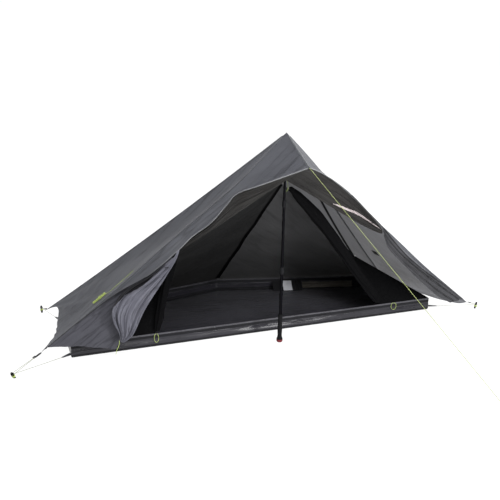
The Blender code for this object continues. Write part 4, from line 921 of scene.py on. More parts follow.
for side, s in SIDES.items():
    front, rear = RIDGE_FRONT[side], RIDGE_REAR[side]
    end_n, rear_n = panel_normal(front, rear), panel_normal(rear, RIDGE_CENTRE)
    edge = HOOD_EDGE[side]
    tape("front_ridge_seam_" + side, front, lambda v: beside(front, rear, v, end_n),
         lambda v: lerp(front(v), edge(v), BESIDE / max(BESIDE + 0.001, np.linalg.norm(edge(v) - front(v)))),
         SEAM_MAT, start=V0, end=0.975)
    tape("rear_ridge_seam_" + side, rear, lambda v: beside(rear, front, v, end_n),
         lambda v: beside(rear, RIDGE_CENTRE, v, rear_n), SEAM_MAT, start=V0, end=0.995)
left_n, right_n = (panel_normal(RIDGE_REAR[k], RIDGE_CENTRE) for k in SIDES)
tape("rear_middle_seam", RIDGE_CENTRE, lambda v: beside(RIDGE_CENTRE, RIDGE_REAR["left"], v, left_n),
     lambda v: beside(RIDGE_CENTRE, RIDGE_REAR["right"], v, right_n), SEAM_MAT, start=V0, end=0.995)
tape("hood_middle_seam", lambda t: lerp(APEX, HOOD_TIP, t),
     lambda t: lerp(lerp(APEX, HOOD_TIP, t), HOOD_EDGE["left"](0.03 + 0.3 * t), 0.1) + vec(-0.02, 0, -0.012),
     lambda t: lerp(lerp(APEX, HOOD_TIP, t), HOOD_EDGE["right"](0.03 + 0.3 * t), 0.1) + vec(0.02, 0, -0.012),
     SEAM_MAT, steps=40, start=U0, end=0.995)


def cloth_tube(name, verts, uvs, steps, around, mat):
    """A closed tube of cloth from its rings of points, with a cap at each end."""
    faces = []
    for i in range(steps - 1):
        for k in range(around):
            j = (k + 1) % around
            faces.append((i * around + k, i * around + j, (i + 1) * around + j, (i + 1) * around + k))
    faces.append(tuple(range(around))[::-1])
    faces.append(tuple((steps - 1) * around + k for k in range(around)))
    mesh = bpy.data.meshes.new(name)
    mesh.from_pydata([tuple(v) for v in verts], [], faces)
    uv = mesh.uv_layers.new(name="cloth")
    index = np.zeros(len(mesh.loops), int)
    mesh.loops.foreach_get("vertex_index", index)
    uv.data.foreach_set("uv", np.array(uvs)[index].ravel())
    mesh.materials.append(mat)
    mesh.shade_smooth()
    obj = bpy.data.objects.new(name, mesh)
    bpy.context.collection.objects.link(obj)
    return obj


def roll(name, path, rx, rz, mat, steps, up_of, around=10):
    """A rolled edge: an oval section swept along a path, with its ends rounded off."""
    ts = np.linspace(0, 1, steps)
    verts, uvs = [], []
    run = 0.0
    last = None
    for i, t in enumerate(ts):
        c = path(t)
        d = unit(path(min(1.0, t + 0.004)) - path(max(0.0, t - 0.004)))
        u = up_of(t)
        u = unit(u - d * np.dot(u, d))
        w = np.cross(d, u)
        if last is not None:
            run += float(np.linalg.norm(c - last))
        last = c
        small = 0.35 if i in (0, steps - 1) else 1.0
        for k in range(around):
            a = 2 * math.pi * k / around
            verts.append(c + (w * math.cos(a) * rx + u * math.sin(a) * rz) * small)
            uvs.append((k * 2 * math.pi * rx / around, run))
    return trim(cloth_tube(name, verts, uvs, steps, around, mat))


HEM_TURN = {"left": 0.60, "right": 0.30}
for side, s in SIDES.items():
    edge, turn = HOOD_EDGE[side], HEM_TURN[side]
    parts = (("hood_hem_", 0.0, turn, HEM_HIGHLIGHT_MAT), ("hood_lower_hem_", turn + 0.001, 0.985, HEM_SHADOW_MAT))
    for part, first, last, mat in parts:

        def hem_path(t):
            v = lerp(first, last, t)
            return (edge(v) if v > 0 else HOOD_TIP) + vec(0, 0, 0.0012)

        def hem_up(t):
            v = lerp(first, last, t)
            if not 0.0 < v < 0.98:
                return vec(0, -0.3, 1)
            along = edge(min(1.0, v + 0.02)) - edge(max(0, v - 0.02))
            return np.cross(along, RIDGE_FRONT[side](v) - edge(v)) * -s

        roll(part + side, hem_path, 0.0034, 0.0021, mat, 80, hem_up)


# Doors: the same cloth as the fly, on each side of the doorway, zipped along the middle.
# Here they are open: gathered up under the hood's edge and tied back, so they fold lengthwise from tip to tie.
TIE_X = 0.651
TIE = {"left": (-0.651, -0.048, 0.638), "right": (0.65, -0.045, 0.633)}
DOOR_LINE = (-0.036, -0.08, 0.998)
DOOR_FOOT = (-0.985, 0.09, 0.045)
TIE_FRONT = (-0.657, -0.062, 0.622)
DRAPE_RIGHT_EDGE = ((-0.682, -0.069, 0.575), (-0.763, -0.035, 0.432), (-0.835, -0.005, 0.303),
                    (-0.895, 0.026, 0.159), (-0.951, 0.041, 0.105))
DRAPE_LEFT_EDGE = ((-0.80, -0.05, 0.52), (-0.95, -0.014, 0.43), (-1.007, 0.009, 0.328), (-1.003, 0.022, 0.251),
                   (-0.969, 0.031, 0.173), (-0.957, 0.038, 0.108))
RIGHT_FREE_EDGE = ((0.672, -0.04, 0.60), (0.709, -0.019, 0.54), (0.784, -0.004, 0.466), (0.874, 0.009, 0.389),
                   (1.006, 0.028, 0.277), (1.1, 0.039, 0.202), (1.187, 0.047, 0.138), (1.29, 0.050, 0.082))
# Painted shade: the door cloth is a darker copy of the fly's cloth, for the shade under the hood.
DOOR_SHADED_MAT = woven("door_cloth_painted_shade", (0.068, 0.068, 0.082), (0.092, 0.092, 0.108), through_light=0.15,
                 light_colour=(0.2, 0.2, 0.22))
SHADE_MAT = woven("door_cloth_shaded", (0.046, 0.046, 0.050), (0.080, 0.080, 0.088), through_light=0.12,
                  light_colour=(0.2, 0.2, 0.2))
# Painted shade: a much darker copy of the door cloth for the gathered doors, for the shade their folds cast on
# each other.
GATHERED_SHADE_MAT = woven("door_cloth_gathered_painted_shade", (0.019, 0.018, 0.0175), (0.033, 0.0315, 0.030), through_light=0.06,
                   light_colour=(0.5, 0.45, 0.38))
# Painted shadow: a near-black copy of the door cloth for the hollow behind the left drape.
FOLD_SHADOW_MAT = woven("door_cloth_painted_fold_shadow", (0.010, 0.010, 0.012), (0.024, 0.024, 0.027))
# Painted light: a pale pinkish, glossier copy of the door cloth, for folds of the right door that are lit from
# behind.
LIT_FOLD_MAT = woven("door_cloth_painted_fold_light", (0.36, 0.31, 0.31), (0.62, 0.545, 0.55), gloss=0.5,
                   rough=(0.3, 0.45), folds=(60.0, 6.0))
# Painted light: a lighter, bluer copy of the door cloth, for the left door's pleats where more light falls on
# them.
LIT_DRAPE_MAT = woven("door_cloth_painted_drape_light", (0.140, 0.141, 0.170), (0.192, 0.193, 0.231), through_light=0.1,
                   light_colour=(0.2, 0.2, 0.22))
DOOR_CLOTH = 0.0005


def tie_v(side):
    return TIE_X / abs(corner("front", SIDES[side])[0])


def hood_frame(side, v):
    e, r = HOOD_EDGE[side](v), RIDGE_FRONT[side](v)
    out = unit(e - r)
    along = unit(HOOD_EDGE[side](min(1.0, v + 0.02)) - HOOD_EDGE[side](max(0.0, v - 0.02)))
    n = unit(np.cross(out, along))
    return e, r, out, (n if n[2] > 0 else -n)


def under_hood(side, v, back, down_by):
    e, r, out, n = hood_frame(side, v)
    return e - out * back - n * down_by


for side, s in SIDES.items():
    tv = tie_v(side)
    line_a = vec(DOOR_LINE) if s > 0 else vec(-0.012, -0.065, 1.0)
    line_b = vec(TIE[side]) + vec(-s * 0.02, 0.012, -0.012)
    us = np.linspace(0, 1, 72)
    grid = []
    for t in np.linspace(0.035 if s < 0 else 0.0, 1.0, 84):
        v = tv * t
        rim = under_hood(side, v, 0.008, 0.0014 + 0.004 * (1 - t) ** 3)
        rim[0] = s * max(abs(rim[0]), 0.012) if s < 0 else max(rim[0], -0.006)
        foot = lerp(line_a, line_b, t)
        tight = max(0.0, (t - 0.78) / 0.22) ** 1.6
        foot = lerp(foot, vec(TIE[side]) + vec(s * 0.004, 0.004, -0.004), tight)
        rim = lerp(rim, vec(TIE[side]) + vec(s * 0.002, -0.002, 0.006), 0.55 * tight)
        n = unit(np.cross(unit(foot - rim), unit(HOOD_EDGE[side](v + 0.03) - HOOD_EDGE[side](v))))
        n = n if n[1] < 0 else -n
        deep = 0.0068 * min(1.0, 8 * (1 - t) + 0.25) * min(1.0, 6 * t + 0.1)
        wander = us + 0.02 * np.sin(5.1 * t + 9 * us) * min(1.0, 5 * (1 - t))
        fold = np.sin(2 * np.pi * 3.0 * wander) - 0.2
        fold = fold + 0.32 * np.sin(2 * np.pi * 7.0 * wander + 2.0 + 3 * t)
        fold = fold + 0.14 * np.sin(2 * np.pi * 15 * wander + 7 * t)
        fold *= np.minimum(1.0, 6 * us) * 0.72
        grid.append([lerp(rim, foot, u) + n * deep * f for u, f in zip(us, fold)])
    gathered = cloth_piece("door_gathered_" + side, np.array(grid), GATHERED_SHADE_MAT, (0, -1, 0),
                           ("door_upper_" + side,), "gathered", ["fly_hood_panel_" + side], "fly_cloth",
                           (0.24, 0.9), hems=("right",), thick=DOOR_CLOTH)
    gathered.data.materials.append(LIT_FOLD_MAT)
    cols = len(us)
    # Painted light: a strip of faces along the lit crest of a fold in the right door takes the pale second
    # material.
    for face in gathered.data.polygons:
        k = min(face.vertices) % (cols * len(grid))
        t, u = k // cols / len(grid), k % cols / cols
        lit_crest = 0.86 - 0.5 * (t - 0.45) / 0.45
        if s > 0 and 0.47 < t < 0.95:
            half = 0.06 * math.sin(math.pi * (t - 0.47) / 0.48) ** 0.6
            if abs(u - lit_crest - 0.02 * math.sin(23 * t)) < half:
                face.material_index = 1

left_v = tie_v("left")
foot_line = through([vec(TIE["left"]) + vec(0, 0.006, -0.02),
                     lerp(vec(DOOR_FOOT), vec(-0.66, -0.03, 0.6), 0.5) + vec(0, 0.012, 0), DOOR_FOOT])
us = np.linspace(0, 1, 60)
grid = []
for t in np.linspace(0.06, 0.98, 80):
    v = lerp(left_v, 0.985, t)
    wide = np.linalg.norm(HOOD_EDGE["left"](v) - RIDGE_FRONT["left"](v))
    rim = under_hood("left", v, min(0.007, 0.3 * wide), 0.0013)
    foot = foot_line(t)
    row = []
    for u in us:
        wave = 0.006 * math.sin(math.pi * u) * math.sin(5 * math.pi * u + 0.6)
        fine = 0.0012 * math.sin(math.pi * u) * math.sin(17 * math.pi * u + 4 * t + math.sin(9 * t))
        hem = 0.012 * math.sin(math.pi * u) * t ** 6
        row.append(lerp(rim, foot, u) + vec(0, wave + fine, hem))
    grid.append(row)
cloth_piece("door_pitched_left", np.array(grid), DOOR_SHADED_MAT, (0, -1, 0), ("door_lower_left",), "hung",
            ["fly_hood_panel_left", "peg_front_left"], "fly_cloth", (0.5, 0.92), hems=("right", "bottom"),
            thick=DOOR_CLOTH)

right_edge = through([TIE_FRONT, *DRAPE_RIGHT_EDGE])
left_edge = through([TIE_FRONT, *DRAPE_LEFT_EDGE])
us = np.linspace(0, 1, 90)
grid = []
for t in np.linspace(0.0, 0.985, 80):
    a, b = left_edge(t), right_edge(t)
    deep = 0.013 * min(1.0, 0.15 + 3.2 * t) * min(1.0, 0.25 + 5 * (1 - t))
    wander = us ** 0.9 + 0.012 * np.sin(6 * t + 8 * us) * min(1.0, 4 * t)
    fold = 0.9 - 1.9 * np.abs(np.sin(np.pi * 3.0 * wander + 0.9 + 0.7 * t)) ** 0.8
    fold += 0.25 * np.sin(2 * np.pi * 8 * wander + 1 + 4 * t)
    fold += 0.12 * np.sin(2 * np.pi * 17 * wander - 5 * t)
    row = [lerp(a, b, u) + vec(0.1, 1, 0.16) * deep * 0.85 * f for u, f in zip(us, fold)]
    if t < 0.04:
        e, r, out, n = hood_frame("left", left_v + 0.002)
        pull = 1 - t / 0.04
        row = [lerp(p, hood_frame("left", left_v + 0.010 - 0.016 * u)[0] + out * 0.0009 + n * 0.0002, pull)
               for p, u in zip(row, us)]
    grid.append(row)
pleats = cloth_piece("door_pleats_left", np.array(grid), LIT_DRAPE_MAT, (0, -1, 0), ("door_drape_left",),
                     "gathered", ["door_toggle_left"], "fly_cloth", (0.34, 0.62), hems=("bottom", "right"),
                     thick=DOOR_CLOTH)
pleats.data.materials.append(FOLD_SHADOW_MAT)
cols = len(us)
# Painted shadow: the faces in the hollow along the drape's left edge take the near-black second material.
for face in pleats.data.polygons:
    k = min(face.vertices) % (cols * len(grid))
    t, u = k // cols / len(grid), k % cols / cols
    if 0.12 < t < 0.64 and u < 0.27 * math.sin(math.pi * (t - 0.12) / 0.52) ** 0.8:
        face.material_index = 1

# Hem cord: a short tail of 2.4 mm lime cord, sewn in at the lowest point of the left door's pleats. It hangs
# free.
HEM_CORD = 0.0012
tail = through([(-0.968, 0.034, 0.128), (-0.970, 0.026, 0.112), (-0.978, 0.02, 0.094), (-0.988, 0.017, 0.076),
                (-0.993, 0.015, 0.056)])
points = [tail(t) for t in np.linspace(0, 1, 20)]
cord_piece("hem_cord_left", points, HEM_CORD, LIME_CORD, tuple(points[0]))

# Right door, hanging part: the same cloth below the tie-back. It hangs slack from under the hood's edge in
# soft folds, down to the front right corner.
right_v = tie_v("right")
free_edge = through(RIGHT_FREE_EDGE)
us = np.linspace(0, 1, 50)
grid = []
for t in np.linspace(0, 1, 80):
    v = lerp(right_v + 0.001, 0.972, t)
    wide = np.linalg.norm(HOOD_EDGE["right"](v) - RIDGE_FRONT["right"](v))
    rim = under_hood("right", v, min(0.007, 0.3 * wide), 0.0013 + 0.003 * t)
    foot = free_edge(t)
    row = []
    for u in us:
        wave = 0.010 * math.sin(math.pi * u) * (0.8 - 1.6 * abs(math.sin(2.5 * math.pi * u + 1.5 * t)) ** 0.8)
        fine = 0.002 * math.sin(math.pi * u) * math.sin(9 * math.pi * u + 9 * t)
        row.append(lerp(rim, foot, u) + vec(0, wave + fine, 0))
    grid.append(row)
cloth_piece("door_hanging_right", np.array(grid), SHADE_MAT, (0, -1, 0), ("door_drape_right",), "gathered",
            ["fly_hood_panel_right"], "fly_cloth", (0.2, 0.95), hems=("right",), thick=DOOR_CLOTH)

# Tie-backs: a black moulded toggle bar on each side of the doorway. It turns on its stem and holds the
# gathered door up under the hood's edge.
dress(moulded("toggle_plastic", (0.008, 0.008, 0.009), (0.02, 0.02, 0.022), 0.3, 0.55), "door_toggle_left",
      "door_toggle_right")

# Inner tent, floor: a bathtub tray of heavier coated nylon. Its wall turns up all round, slumps into a soft
# lengthwise fold between the corners, and ends in an edge that the upper walls are sewn to. Its wall is a
# darker copy of the floor's cloth, painted shade; it has dark bands of painted shade at its foot and in the
# groove under its top, and a pale band of painted highlight along its top.
TRAY = [(-TRAY_FRONT[0], TRAY_FRONT[1]), TRAY_FRONT, TRAY_REAR, (0.0, TRAY_BACK_Y),
        (-TRAY_REAR[0], TRAY_REAR[1])]
TRAY_HEIGHT, TRAY_SHEET = 0.085, 0.0008
FLOOR_MAT = woven("coated_floor_cloth", (0.041, 0.0405, 0.050), (0.066, 0.065, 0.079), thread=0.0009, gloss=0.3,
                  rough=(0.26, 0.42), crease=0.0005, folds=(1.3, 9.0), crease_shade_strength=0.3)
TRAY_WALL_SHADE_MAT = woven("tray_wall_painted_shade", (0.017, 0.0165, 0.0215), (0.029, 0.028, 0.036), thread=0.0009,
                      gloss=0.34, rough=(0.24, 0.34), crease=0.0005, folds=(1.1, 26.0), crease_shade_strength=0.5)
TRAY_GROOVE_SHADE_MAT = woven("tray_painted_groove_shade", (0.010, 0.010, 0.012), (0.018, 0.018, 0.021), thread=0.0009, gloss=0.1,
                      folds=(1.1, 26.0))
TRAY_CREST_HIGHLIGHT_MAT = woven("tray_painted_crest_highlight", (0.052, 0.051, 0.060), (0.088, 0.086, 0.098), thread=0.0009,
                         gloss=0.4, rough=(0.22, 0.34), folds=(20.0, 30.0))
LIGHT_STRIP_MAT = woven("rear_wall_painted_light", (0.10, 0.092, 0.078), (0.15, 0.138, 0.118), thread=0.0009, rough=(0.4, 0.6),
                    folds=(4.0, 60.0))


def inset_ring(pts, d):
    out = []
    for k in range(len(pts)):
        p, a, b = vec(pts[k]), vec(pts[k - 1]), vec(pts[(k + 1) % len(pts)])
        e1, e2 = unit(p - a), unit(b - p)
        n1, n2 = vec(-e1[1], e1[0]), vec(-e2[1], e2[0])
        out.append(p + (n1 + n2) * d / (1 + np.dot(n1, n2)))
    return out


def tray_section(run, length, front):
    """Inset and height down the tray's wall at a distance along one side."""
    mid = math.sin(math.pi * run / length) ** 0.5 if 0 < run < length else 0.0
    uneven = 0.007 + 0.004 * math.sin(run * 6.1) + 0.002 * math.sin(run * 17.0 + 1.0)
    slump = mid * uneven * (1.0 if front else 0.7)
    wave = 0.0015 * mid * math.sin(run * 23.0)
    return [(0.030, 0.0012), (0.014, 0.0016), (0.006, 0.0045), (0.0022, 0.011), (0.0008, 0.021),
            (0.0008 + 0.2 * slump, 0.031 + wave), (0.001 + 0.6 * slump, 0.041 + wave), (0.002 + slump, 0.049),
            (0.0022 + 0.75 * slump, 0.057), (0.0016 + 0.35 * slump, 0.066), (0.0012 + 0.3 * slump, 0.075),
            (0.0011 + 0.35 * slump, TRAY_HEIGHT)]


def outwards_of_tray(g, n):
    """1 where the wall's normals point away from the middle of the tray, or else -1."""
    return 1.0 if np.mean(np.sum(n[6] * (g[6] - vec(0, 0.5, 0.05)), axis=1)) > 0 else -1.0


sections = []
per_side = (110, 40, 64, 64, 40)
walk = []
for k in range(5):
    a, b = vec(TRAY[k]), vec(TRAY[(k + 1) % 5])
    length = float(np.linalg.norm(b - a))
    for m in range(per_side[k]):
        walk.append((k, m / per_side[k], length))
for k, t, length in walk:
    section = tray_section(t * length, length, k == 0)
    column = []
    for d, z in section:
        r = inset_ring(TRAY, d)
        p = lerp(vec(r[k]), vec(r[(k + 1) % 5]), t)
        column.append((p[0], p[1], z))
    sections.append(column)
wall = np.array(sections + [sections[0]]).transpose(1, 0, 2)
n = normals_of(wall)
out = outwards_of_tray(wall, n)
um, vm = metric(wall)
grain = 0.0006 * waves(um / 0.09, 61) * np.clip(vm / 0.05, 0, 1)
wall = wall + n * (grain * out)[..., None]
wall_mesh = cloth_mesh("tray_wall_raw", wall, TRAY_SHEET, TRAY_WALL_SHADE_MAT, outwards_of_tray, hems=("bottom",),
                       hem_wide=0.009, hem_more=0.001, lift=0.3)
wall_mesh.data.materials.append(TRAY_GROOVE_SHADE_MAT)
wall_mesh.data.materials.append(TRAY_CREST_HIGHLIGHT_MAT)
cols, count = wall.shape[1], wall.shape[0] * wall.shape[1]
# Painted shade and highlight: faces in rows 1 to 3 (the foot) and 8 to 9 (the groove) take the dark second
# material, and rows 10 and up the pale third one.
for face in wall_mesh.data.polygons:
    k = min(face.vertices) % count // cols
    if 1 <= k <= 3 or 8 <= k <= 9:
        face.material_index = 1
    elif k >= 10:
        face.material_index = 2
us, vs = np.linspace(0, 1, 110), np.linspace(0, 1, 46)
inner_ring = [vec(*p) for p in inset_ring(TRAY, 0.030)]
base = np.zeros((len(vs), len(us), 3))
for j, u in enumerate(us):
    front_p = lerp(inner_ring[0], inner_ring[1], u)
    if u < 0.5:
        back_p = lerp(inner_ring[4], inner_ring[3], 2 * u)
    else:
        back_p = lerp(inner_ring[3], inner_ring[2], 2 * u - 1)
    for i, v in enumerate(vs):
        base[i, j] = (*lerp(front_p, back_p, v), 0.0012)
um, vm = metric(base)
calm = off_edges(um, um[:, -1:], 0.1) * off_edges(vm, vm[-1:], 0.06)
ripple = 0.5 + 0.5 * waves(um / 0.31 + 0.6 * vm / 0.2, 71)
ripple = ripple + 0.35 * waves(vm / 0.11 + um / 0.9, 72) + 0.25 * waves((um + vm) / 0.07, 73)
base[..., 2] += 0.0032 * np.clip(ripple, -0.2, 1.6) * calm
floor_mesh = cloth_mesh("tray_floor_raw", base, TRAY_SHEET, FLOOR_MAT, (0, 0, 1), lift=0.3)
with bpy.context.temp_override(active_object=wall_mesh, selected_editable_objects=[wall_mesh, floor_mesh],
                               selected_objects=[wall_mesh, floor_mesh], object=wall_mesh):
    bpy.ops.object.join()
tray = wall_mesh
tray.name = "floor_tray"
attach(tray, "tent")
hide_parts("groundsheet")

# Painted light: a paler strip on the inside of the tray's rear wall. It runs along the wall's foot, over the
# seam, and stands for the light that comes through the wall from behind.
a, b = (vec(*inset_ring(TRAY, 0.004)[k]) for k in (3, 2))
grid = [[vec(*(lerp(a, b, w) + vec(0, -0.016 * (1 - z / 0.05) ** 2)), z) for w in np.linspace(0.525, 0.84, 60)]
        for z in np.linspace(0.05, 0.007, 8)]
strip = cloth_mesh("tray_painted_light_strip", np.array(grid) + vec(0, -0.0045, 0), TAPE_THICK, LIGHT_STRIP_MAT,
                   (0, -1, 0.3))
trim(strip)

# Tray tabs: a tapered piece of the floor's coated cloth at each corner, hemmed on both sides. It is sewn to the
# tray and takes the end of the tray line.
TAB_THICK = 0.0011
for key, f in TABS.items():
    xs = np.linspace(-0.004, TAB_LONG, 16)
    grid = np.zeros((16, 9, 3))
    for i, x in enumerate(xs):
        wide = np.interp(x, (-0.004, 0.02, TAB_LONG - 0.012, TAB_LONG), (0.0155, 0.0122, 0.0072, 0.0052))
        for j, y in enumerate(np.linspace(-1, 1, 9)):
            grid[i, j] = placed(f, (x, wide * y, 0.0006 * math.cos(1.5 * y * math.pi) * (1 - x / TAB_LONG)))
    tab = cloth_mesh("tray_tab_" + key, grid, TAB_THICK, FLOOR_MAT, (0, 0, 1), hems=("left", "right"),
                     hem_wide=0.0025, hem_more=0.0005)
    trim(tab)

# Inner tent, walls: dark breathable cloth at the back and ends, seamed down the middle of the back and bowed
# in by its own slack, with level creases low down. Sewn to the tray's edge.
INNER_CLOTH, INNER_THICK = 0.001, 0.0005
SHOULDER = (0.75, 0.42, 0.36)
RIM = TRAY_HEIGHT + 0.0007
WALL_MAT = woven("inner_wall_cloth", (0.056, 0.056, 0.058), (0.084, 0.084, 0.087), thread=0.0010,
                 through_light=0.3, light_colour=(0.42, 0.42, 0.415), folds=(1.4, 18.0), crease_shade_strength=0.6,
                 rough=(0.6, 0.8))


def shaded_half(mat, share):
    """Painted shade: the half of the wall left of its middle seam is darkened, for the shade that falls on it.
    """
    tree = mat.node_tree
    where = add(tree, "TexCoord")
    split = add(tree, "SeparateXYZ")
    link(tree, where.outputs["Object"], split.inputs["Vector"])
    left = add(tree, "Math", operation="LESS_THAN")
    left.inputs[1].default_value = 0.0
    link(tree, split.outputs["X"], left.inputs[0])
    clear_light = next(n for n in tree.nodes if n.type == "BSDF_TRANSLUCENT")
    for node, name in ((tree.nodes["Principled BSDF"], "Base Color"), (clear_light, "Color")):
        mix = add(tree, "Mix", data_type="RGBA", blend_type="MULTIPLY")
        link(tree, left.outputs[0], mix.inputs["Factor"])
        if node.inputs[name].links:
            link(tree, node.inputs[name].links[0].from_socket, mix.inputs["A"])
        else:
            mix.inputs["A"].default_value = node.inputs[name].default_value
        mix.inputs["B"].default_value = (share, share, share, 1.0)
        link(tree, mix.outputs["Result"], node.inputs[name])


shaded_half(WALL_MAT, 0.17)
PEAK_REAR = INNER_PEAK + vec(0, 0.0022, 0)


def wall_point(u, v):
    k = -1 if u < 0.5 else 1
    w = abs(2 * u - 1)
    shoulder = vec(k * SHOULDER[0], SHOULDER[1] + 0.0014, SHOULDER[2] + 0.0006)
    top = lerp(PEAK_REAR, shoulder, w)
    low = lerp(vec(0.0, TRAY_BACK_Y - 0.001, RIM), vec(k * (TRAY_REAR[0] - 0.003), TRAY_REAR[1] - 0.001, RIM),
               w)
    bow = 0.012 * math.sin(math.pi * v) * math.sin(math.pi * min(1.0, w))
    crease = 0.004 * math.sin(math.pi * v) ** 2 * math.sin(7 * math.pi * v + 2.2 * w)
    return lerp(top, low, v) + vec(0, -0.8, -0.6) * (bow + crease * (1 - 0.5 * w))


us, vs = np.linspace(0, 1, 101), np.linspace(0.004, 1, 90)
grid = [[wall_point(u, v) for u in us] for v in vs]
grid.append([p + vec(0, -0.0035, -0.006) for p in grid[-1]])
grid = np.array(grid)
vs = np.append(vs, 1.005)
n = normals_of(grid)
back = 1.0 if n.reshape(-1, 3).mean(0)[1] > 0 else -1.0
um, vm = metric(grid)
uu, vv = np.meshgrid(us, vs)
low_down = np.exp(-((vv - 0.84) / 0.11) ** 2)
calm = off_edges(vm, vm[-1:], 0.04) * np.clip(np.abs(uu - 0.5) / 0.02, 0, 1)
calm *= off_edges(uu, 1, 0.03)
h = 0.0024 * low_down * waves(vm / 0.045 + 0.25 * um, 81) + 0.0012 * waves(vm / 0.12 + um / 1.1, 82)
h += 0.0009 * waves(um / 0.09 + vm / 0.3, 83) * low_down
grid = grid + n * back * (INNER_CLOTH * 0.5 + h * calm)[..., None]
cloth_piece("inner_rear_wall", grid, WALL_MAT, (0, 1, 0.5), ("inner_rear",), "stretched", ["floor_tray"],
            "inner_fabric", (2.34, 1.33), thick=INNER_THICK)
back_seam = np.array([[wall_point(0.5 + d, v) + vec(0, -0.0011, -0.0008)
                       for d in np.linspace(-0.0062, 0.0062, 5)] for v in np.linspace(0.01, 0.985, 80)])
INNER_SEAM_MAT = stitched("inner_seam_tape", (0.0010, 0.0010, 0.0011), (0.0028, 0.0028, 0.0030), gloss=0.02,
                          sheen=0.0)
seam = cloth_mesh("inner_rear_seam", back_seam, 0.0006, INNER_SEAM_MAT, (0, -1, -0.5))
trim(seam)

for side, s in SIDES.items():
    top = vec(s * (SHOULDER[0] + 0.0016), SHOULDER[1], SHOULDER[2])
    a = vec(s * (TRAY_FRONT[0] - 0.001), TRAY_FRONT[1] + 0.004, RIM)
    b = vec(s * (TRAY_REAR[0] - 0.001), TRAY_REAR[1] - 0.004, RIM)
    us, vs = np.linspace(0, 1, 40), np.linspace(0.012, 1, 50)
    grid = np.array([[lerp(top, lerp(a, b, u), v) for u in us] for v in vs])
    n = normals_of(grid)
    out = 1.0 if n.reshape(-1, 3).mean(0)[0] * s > 0 else -1.0
    um, vm = metric(grid)
    calm = off_edges(um, um[:, -1:], 0.03) * np.clip((vm[-1:] - vm) / 0.03, 0, 1)
    h = 0.0012 * waves(um / 0.07 + vm / 0.4, 91 + s) * calm - 0.004 * np.sin(np.pi * vm / vm[-1:].max()) * calm
    grid = grid + n * out * (INNER_CLOTH * 0.5 + h)[..., None]
    cloth_piece("inner_end_wall_" + side, grid, WALL_MAT, (s, 0, 0.5), ("inner_end_" + side,), "stretched",
                ["floor_tray"], "inner_fabric", (0.6, 0.55), thick=INNER_THICK)

# Inner tent, front: fine black mesh that keeps insects out. The doors of it are rolled back lengthwise,
# left and right, and each roll is held low down by a lime tie loop.
DOOR_EDGE_LEFT = ((-0.35, 0.06, 0.81), (-0.62, 0.1, 0.65), (-0.69, 0.14, 0.35), (-0.72, 0.176, 0.09))
DOOR_EDGE_RIGHT = ((0.28, 0.075, 0.68), (0.56, 0.13, 0.375), (0.81, 0.176, 0.09))


def netting(name, hole=0.0016, cover=0.9):
    m, tree, s = shader(name, 0.8)
    s.inputs["Specular IOR Level"].default_value = 0.03
    cloth = add(tree, "UVMap", uv_map="cloth")
    bars = []
    for direction in ("X", "Y"):
        w = add(tree, "TexWave", wave_type="BANDS", bands_direction=direction, wave_profile="SIN",
                Scale=BAND_PITCH / hole, Distortion=0.4)
        link(tree, cloth.outputs["UV"], w.inputs["Vector"])
        bars.append(w)
    most = add(tree, "Math", operation="MAXIMUM")
    link(tree, bars[0].outputs["Fac"], most.inputs[0])
    link(tree, bars[1].outputs["Fac"], most.inputs[1])
    cut = add(tree, "Math", operation="GREATER_THAN")
    cut.inputs[1].default_value = 1.0 - cover
    link(tree, most.outputs[0], cut.inputs[0])
    link(tree, cut.outputs[0], s.inputs["Alpha"])
    where = add(tree, "TexCoord")
    broad = add(tree, "TexNoise", Scale=60.0)
    link(tree, where.outputs["Object"], broad.inputs["Vector"])
    two_tone(tree, s, broad.outputs["Fac"], (0.0018, 0.0018, 0.0021), (0.0050, 0.0050, 0.0055))
    bump = add(tree, "Bump", Strength=0.4, Distance=0.0002)
    link(tree, most.outputs[0], bump.inputs["Height"])
    link(tree, bump.outputs["Normal"], s.inputs["Normal"])
    return m


NET_THICK = 0.0004
NET_MAT = netting("insect_mesh")
NET_BUNCH = netting("insect_mesh_folded", cover=0.97)
for side, s in SIDES.items():
    edge = through([INNER_PEAK, *(DOOR_EDGE_LEFT if side == "left" else DOOR_EDGE_RIGHT)])
    foot = vec(s * (TRAY_FRONT[0] - 0.005), TRAY_FRONT[1] + 0.0005, RIM)
    shoulder = vec(s * SHOULDER[0], SHOULDER[1] - 0.0022, SHOULDER[2] - 0.0004)
    start = INNER_PEAK + vec(s * 0.0012, 0, 0)
    grid = []
    for t in np.linspace(0.012, 1, 80):
        outer = lerp(start, shoulder, t / 0.62) if t < 0.62 else lerp(shoulder, foot, (t - 0.62) / 0.38)
        inner = edge(t)
        inner[2] = max(inner[2], RIM)
        inner[0] = s * max(abs(inner[0]), 0.0012)
        row = []
        for u in np.linspace(0, 1, 44):
            p = lerp(inner, outer, u) + vec(0, 0.012, -0.004) * math.sin(math.pi * u) * math.sin(math.pi * t)
            p = (p + vec(0, 0.0011, 0.0) * math.sin(math.pi * u) * math.sin(19 * u + 7 * t)
                 * math.sin(math.pi * t))
            if t > 0.995:
                p[2] = RIM
                p[1] = TRAY_FRONT[1] + 0.0005 + (inner[1] - TRAY_FRONT[1]) * (1 - u)
            row.append(p)
        grid.append(row)
    cloth_piece("mesh_panel_" + side, np.array(grid), NET_MAT, (0, -1, 0), ("inner_front_" + side,),
                "stretched", ["floor_tray"], "mesh_cloth", (0.62, 1.5) if side == "left" else (0.72, 1.5),
                thick=NET_THICK, hems=("left",), hem_wide=0.014, hem_more=0.0006)

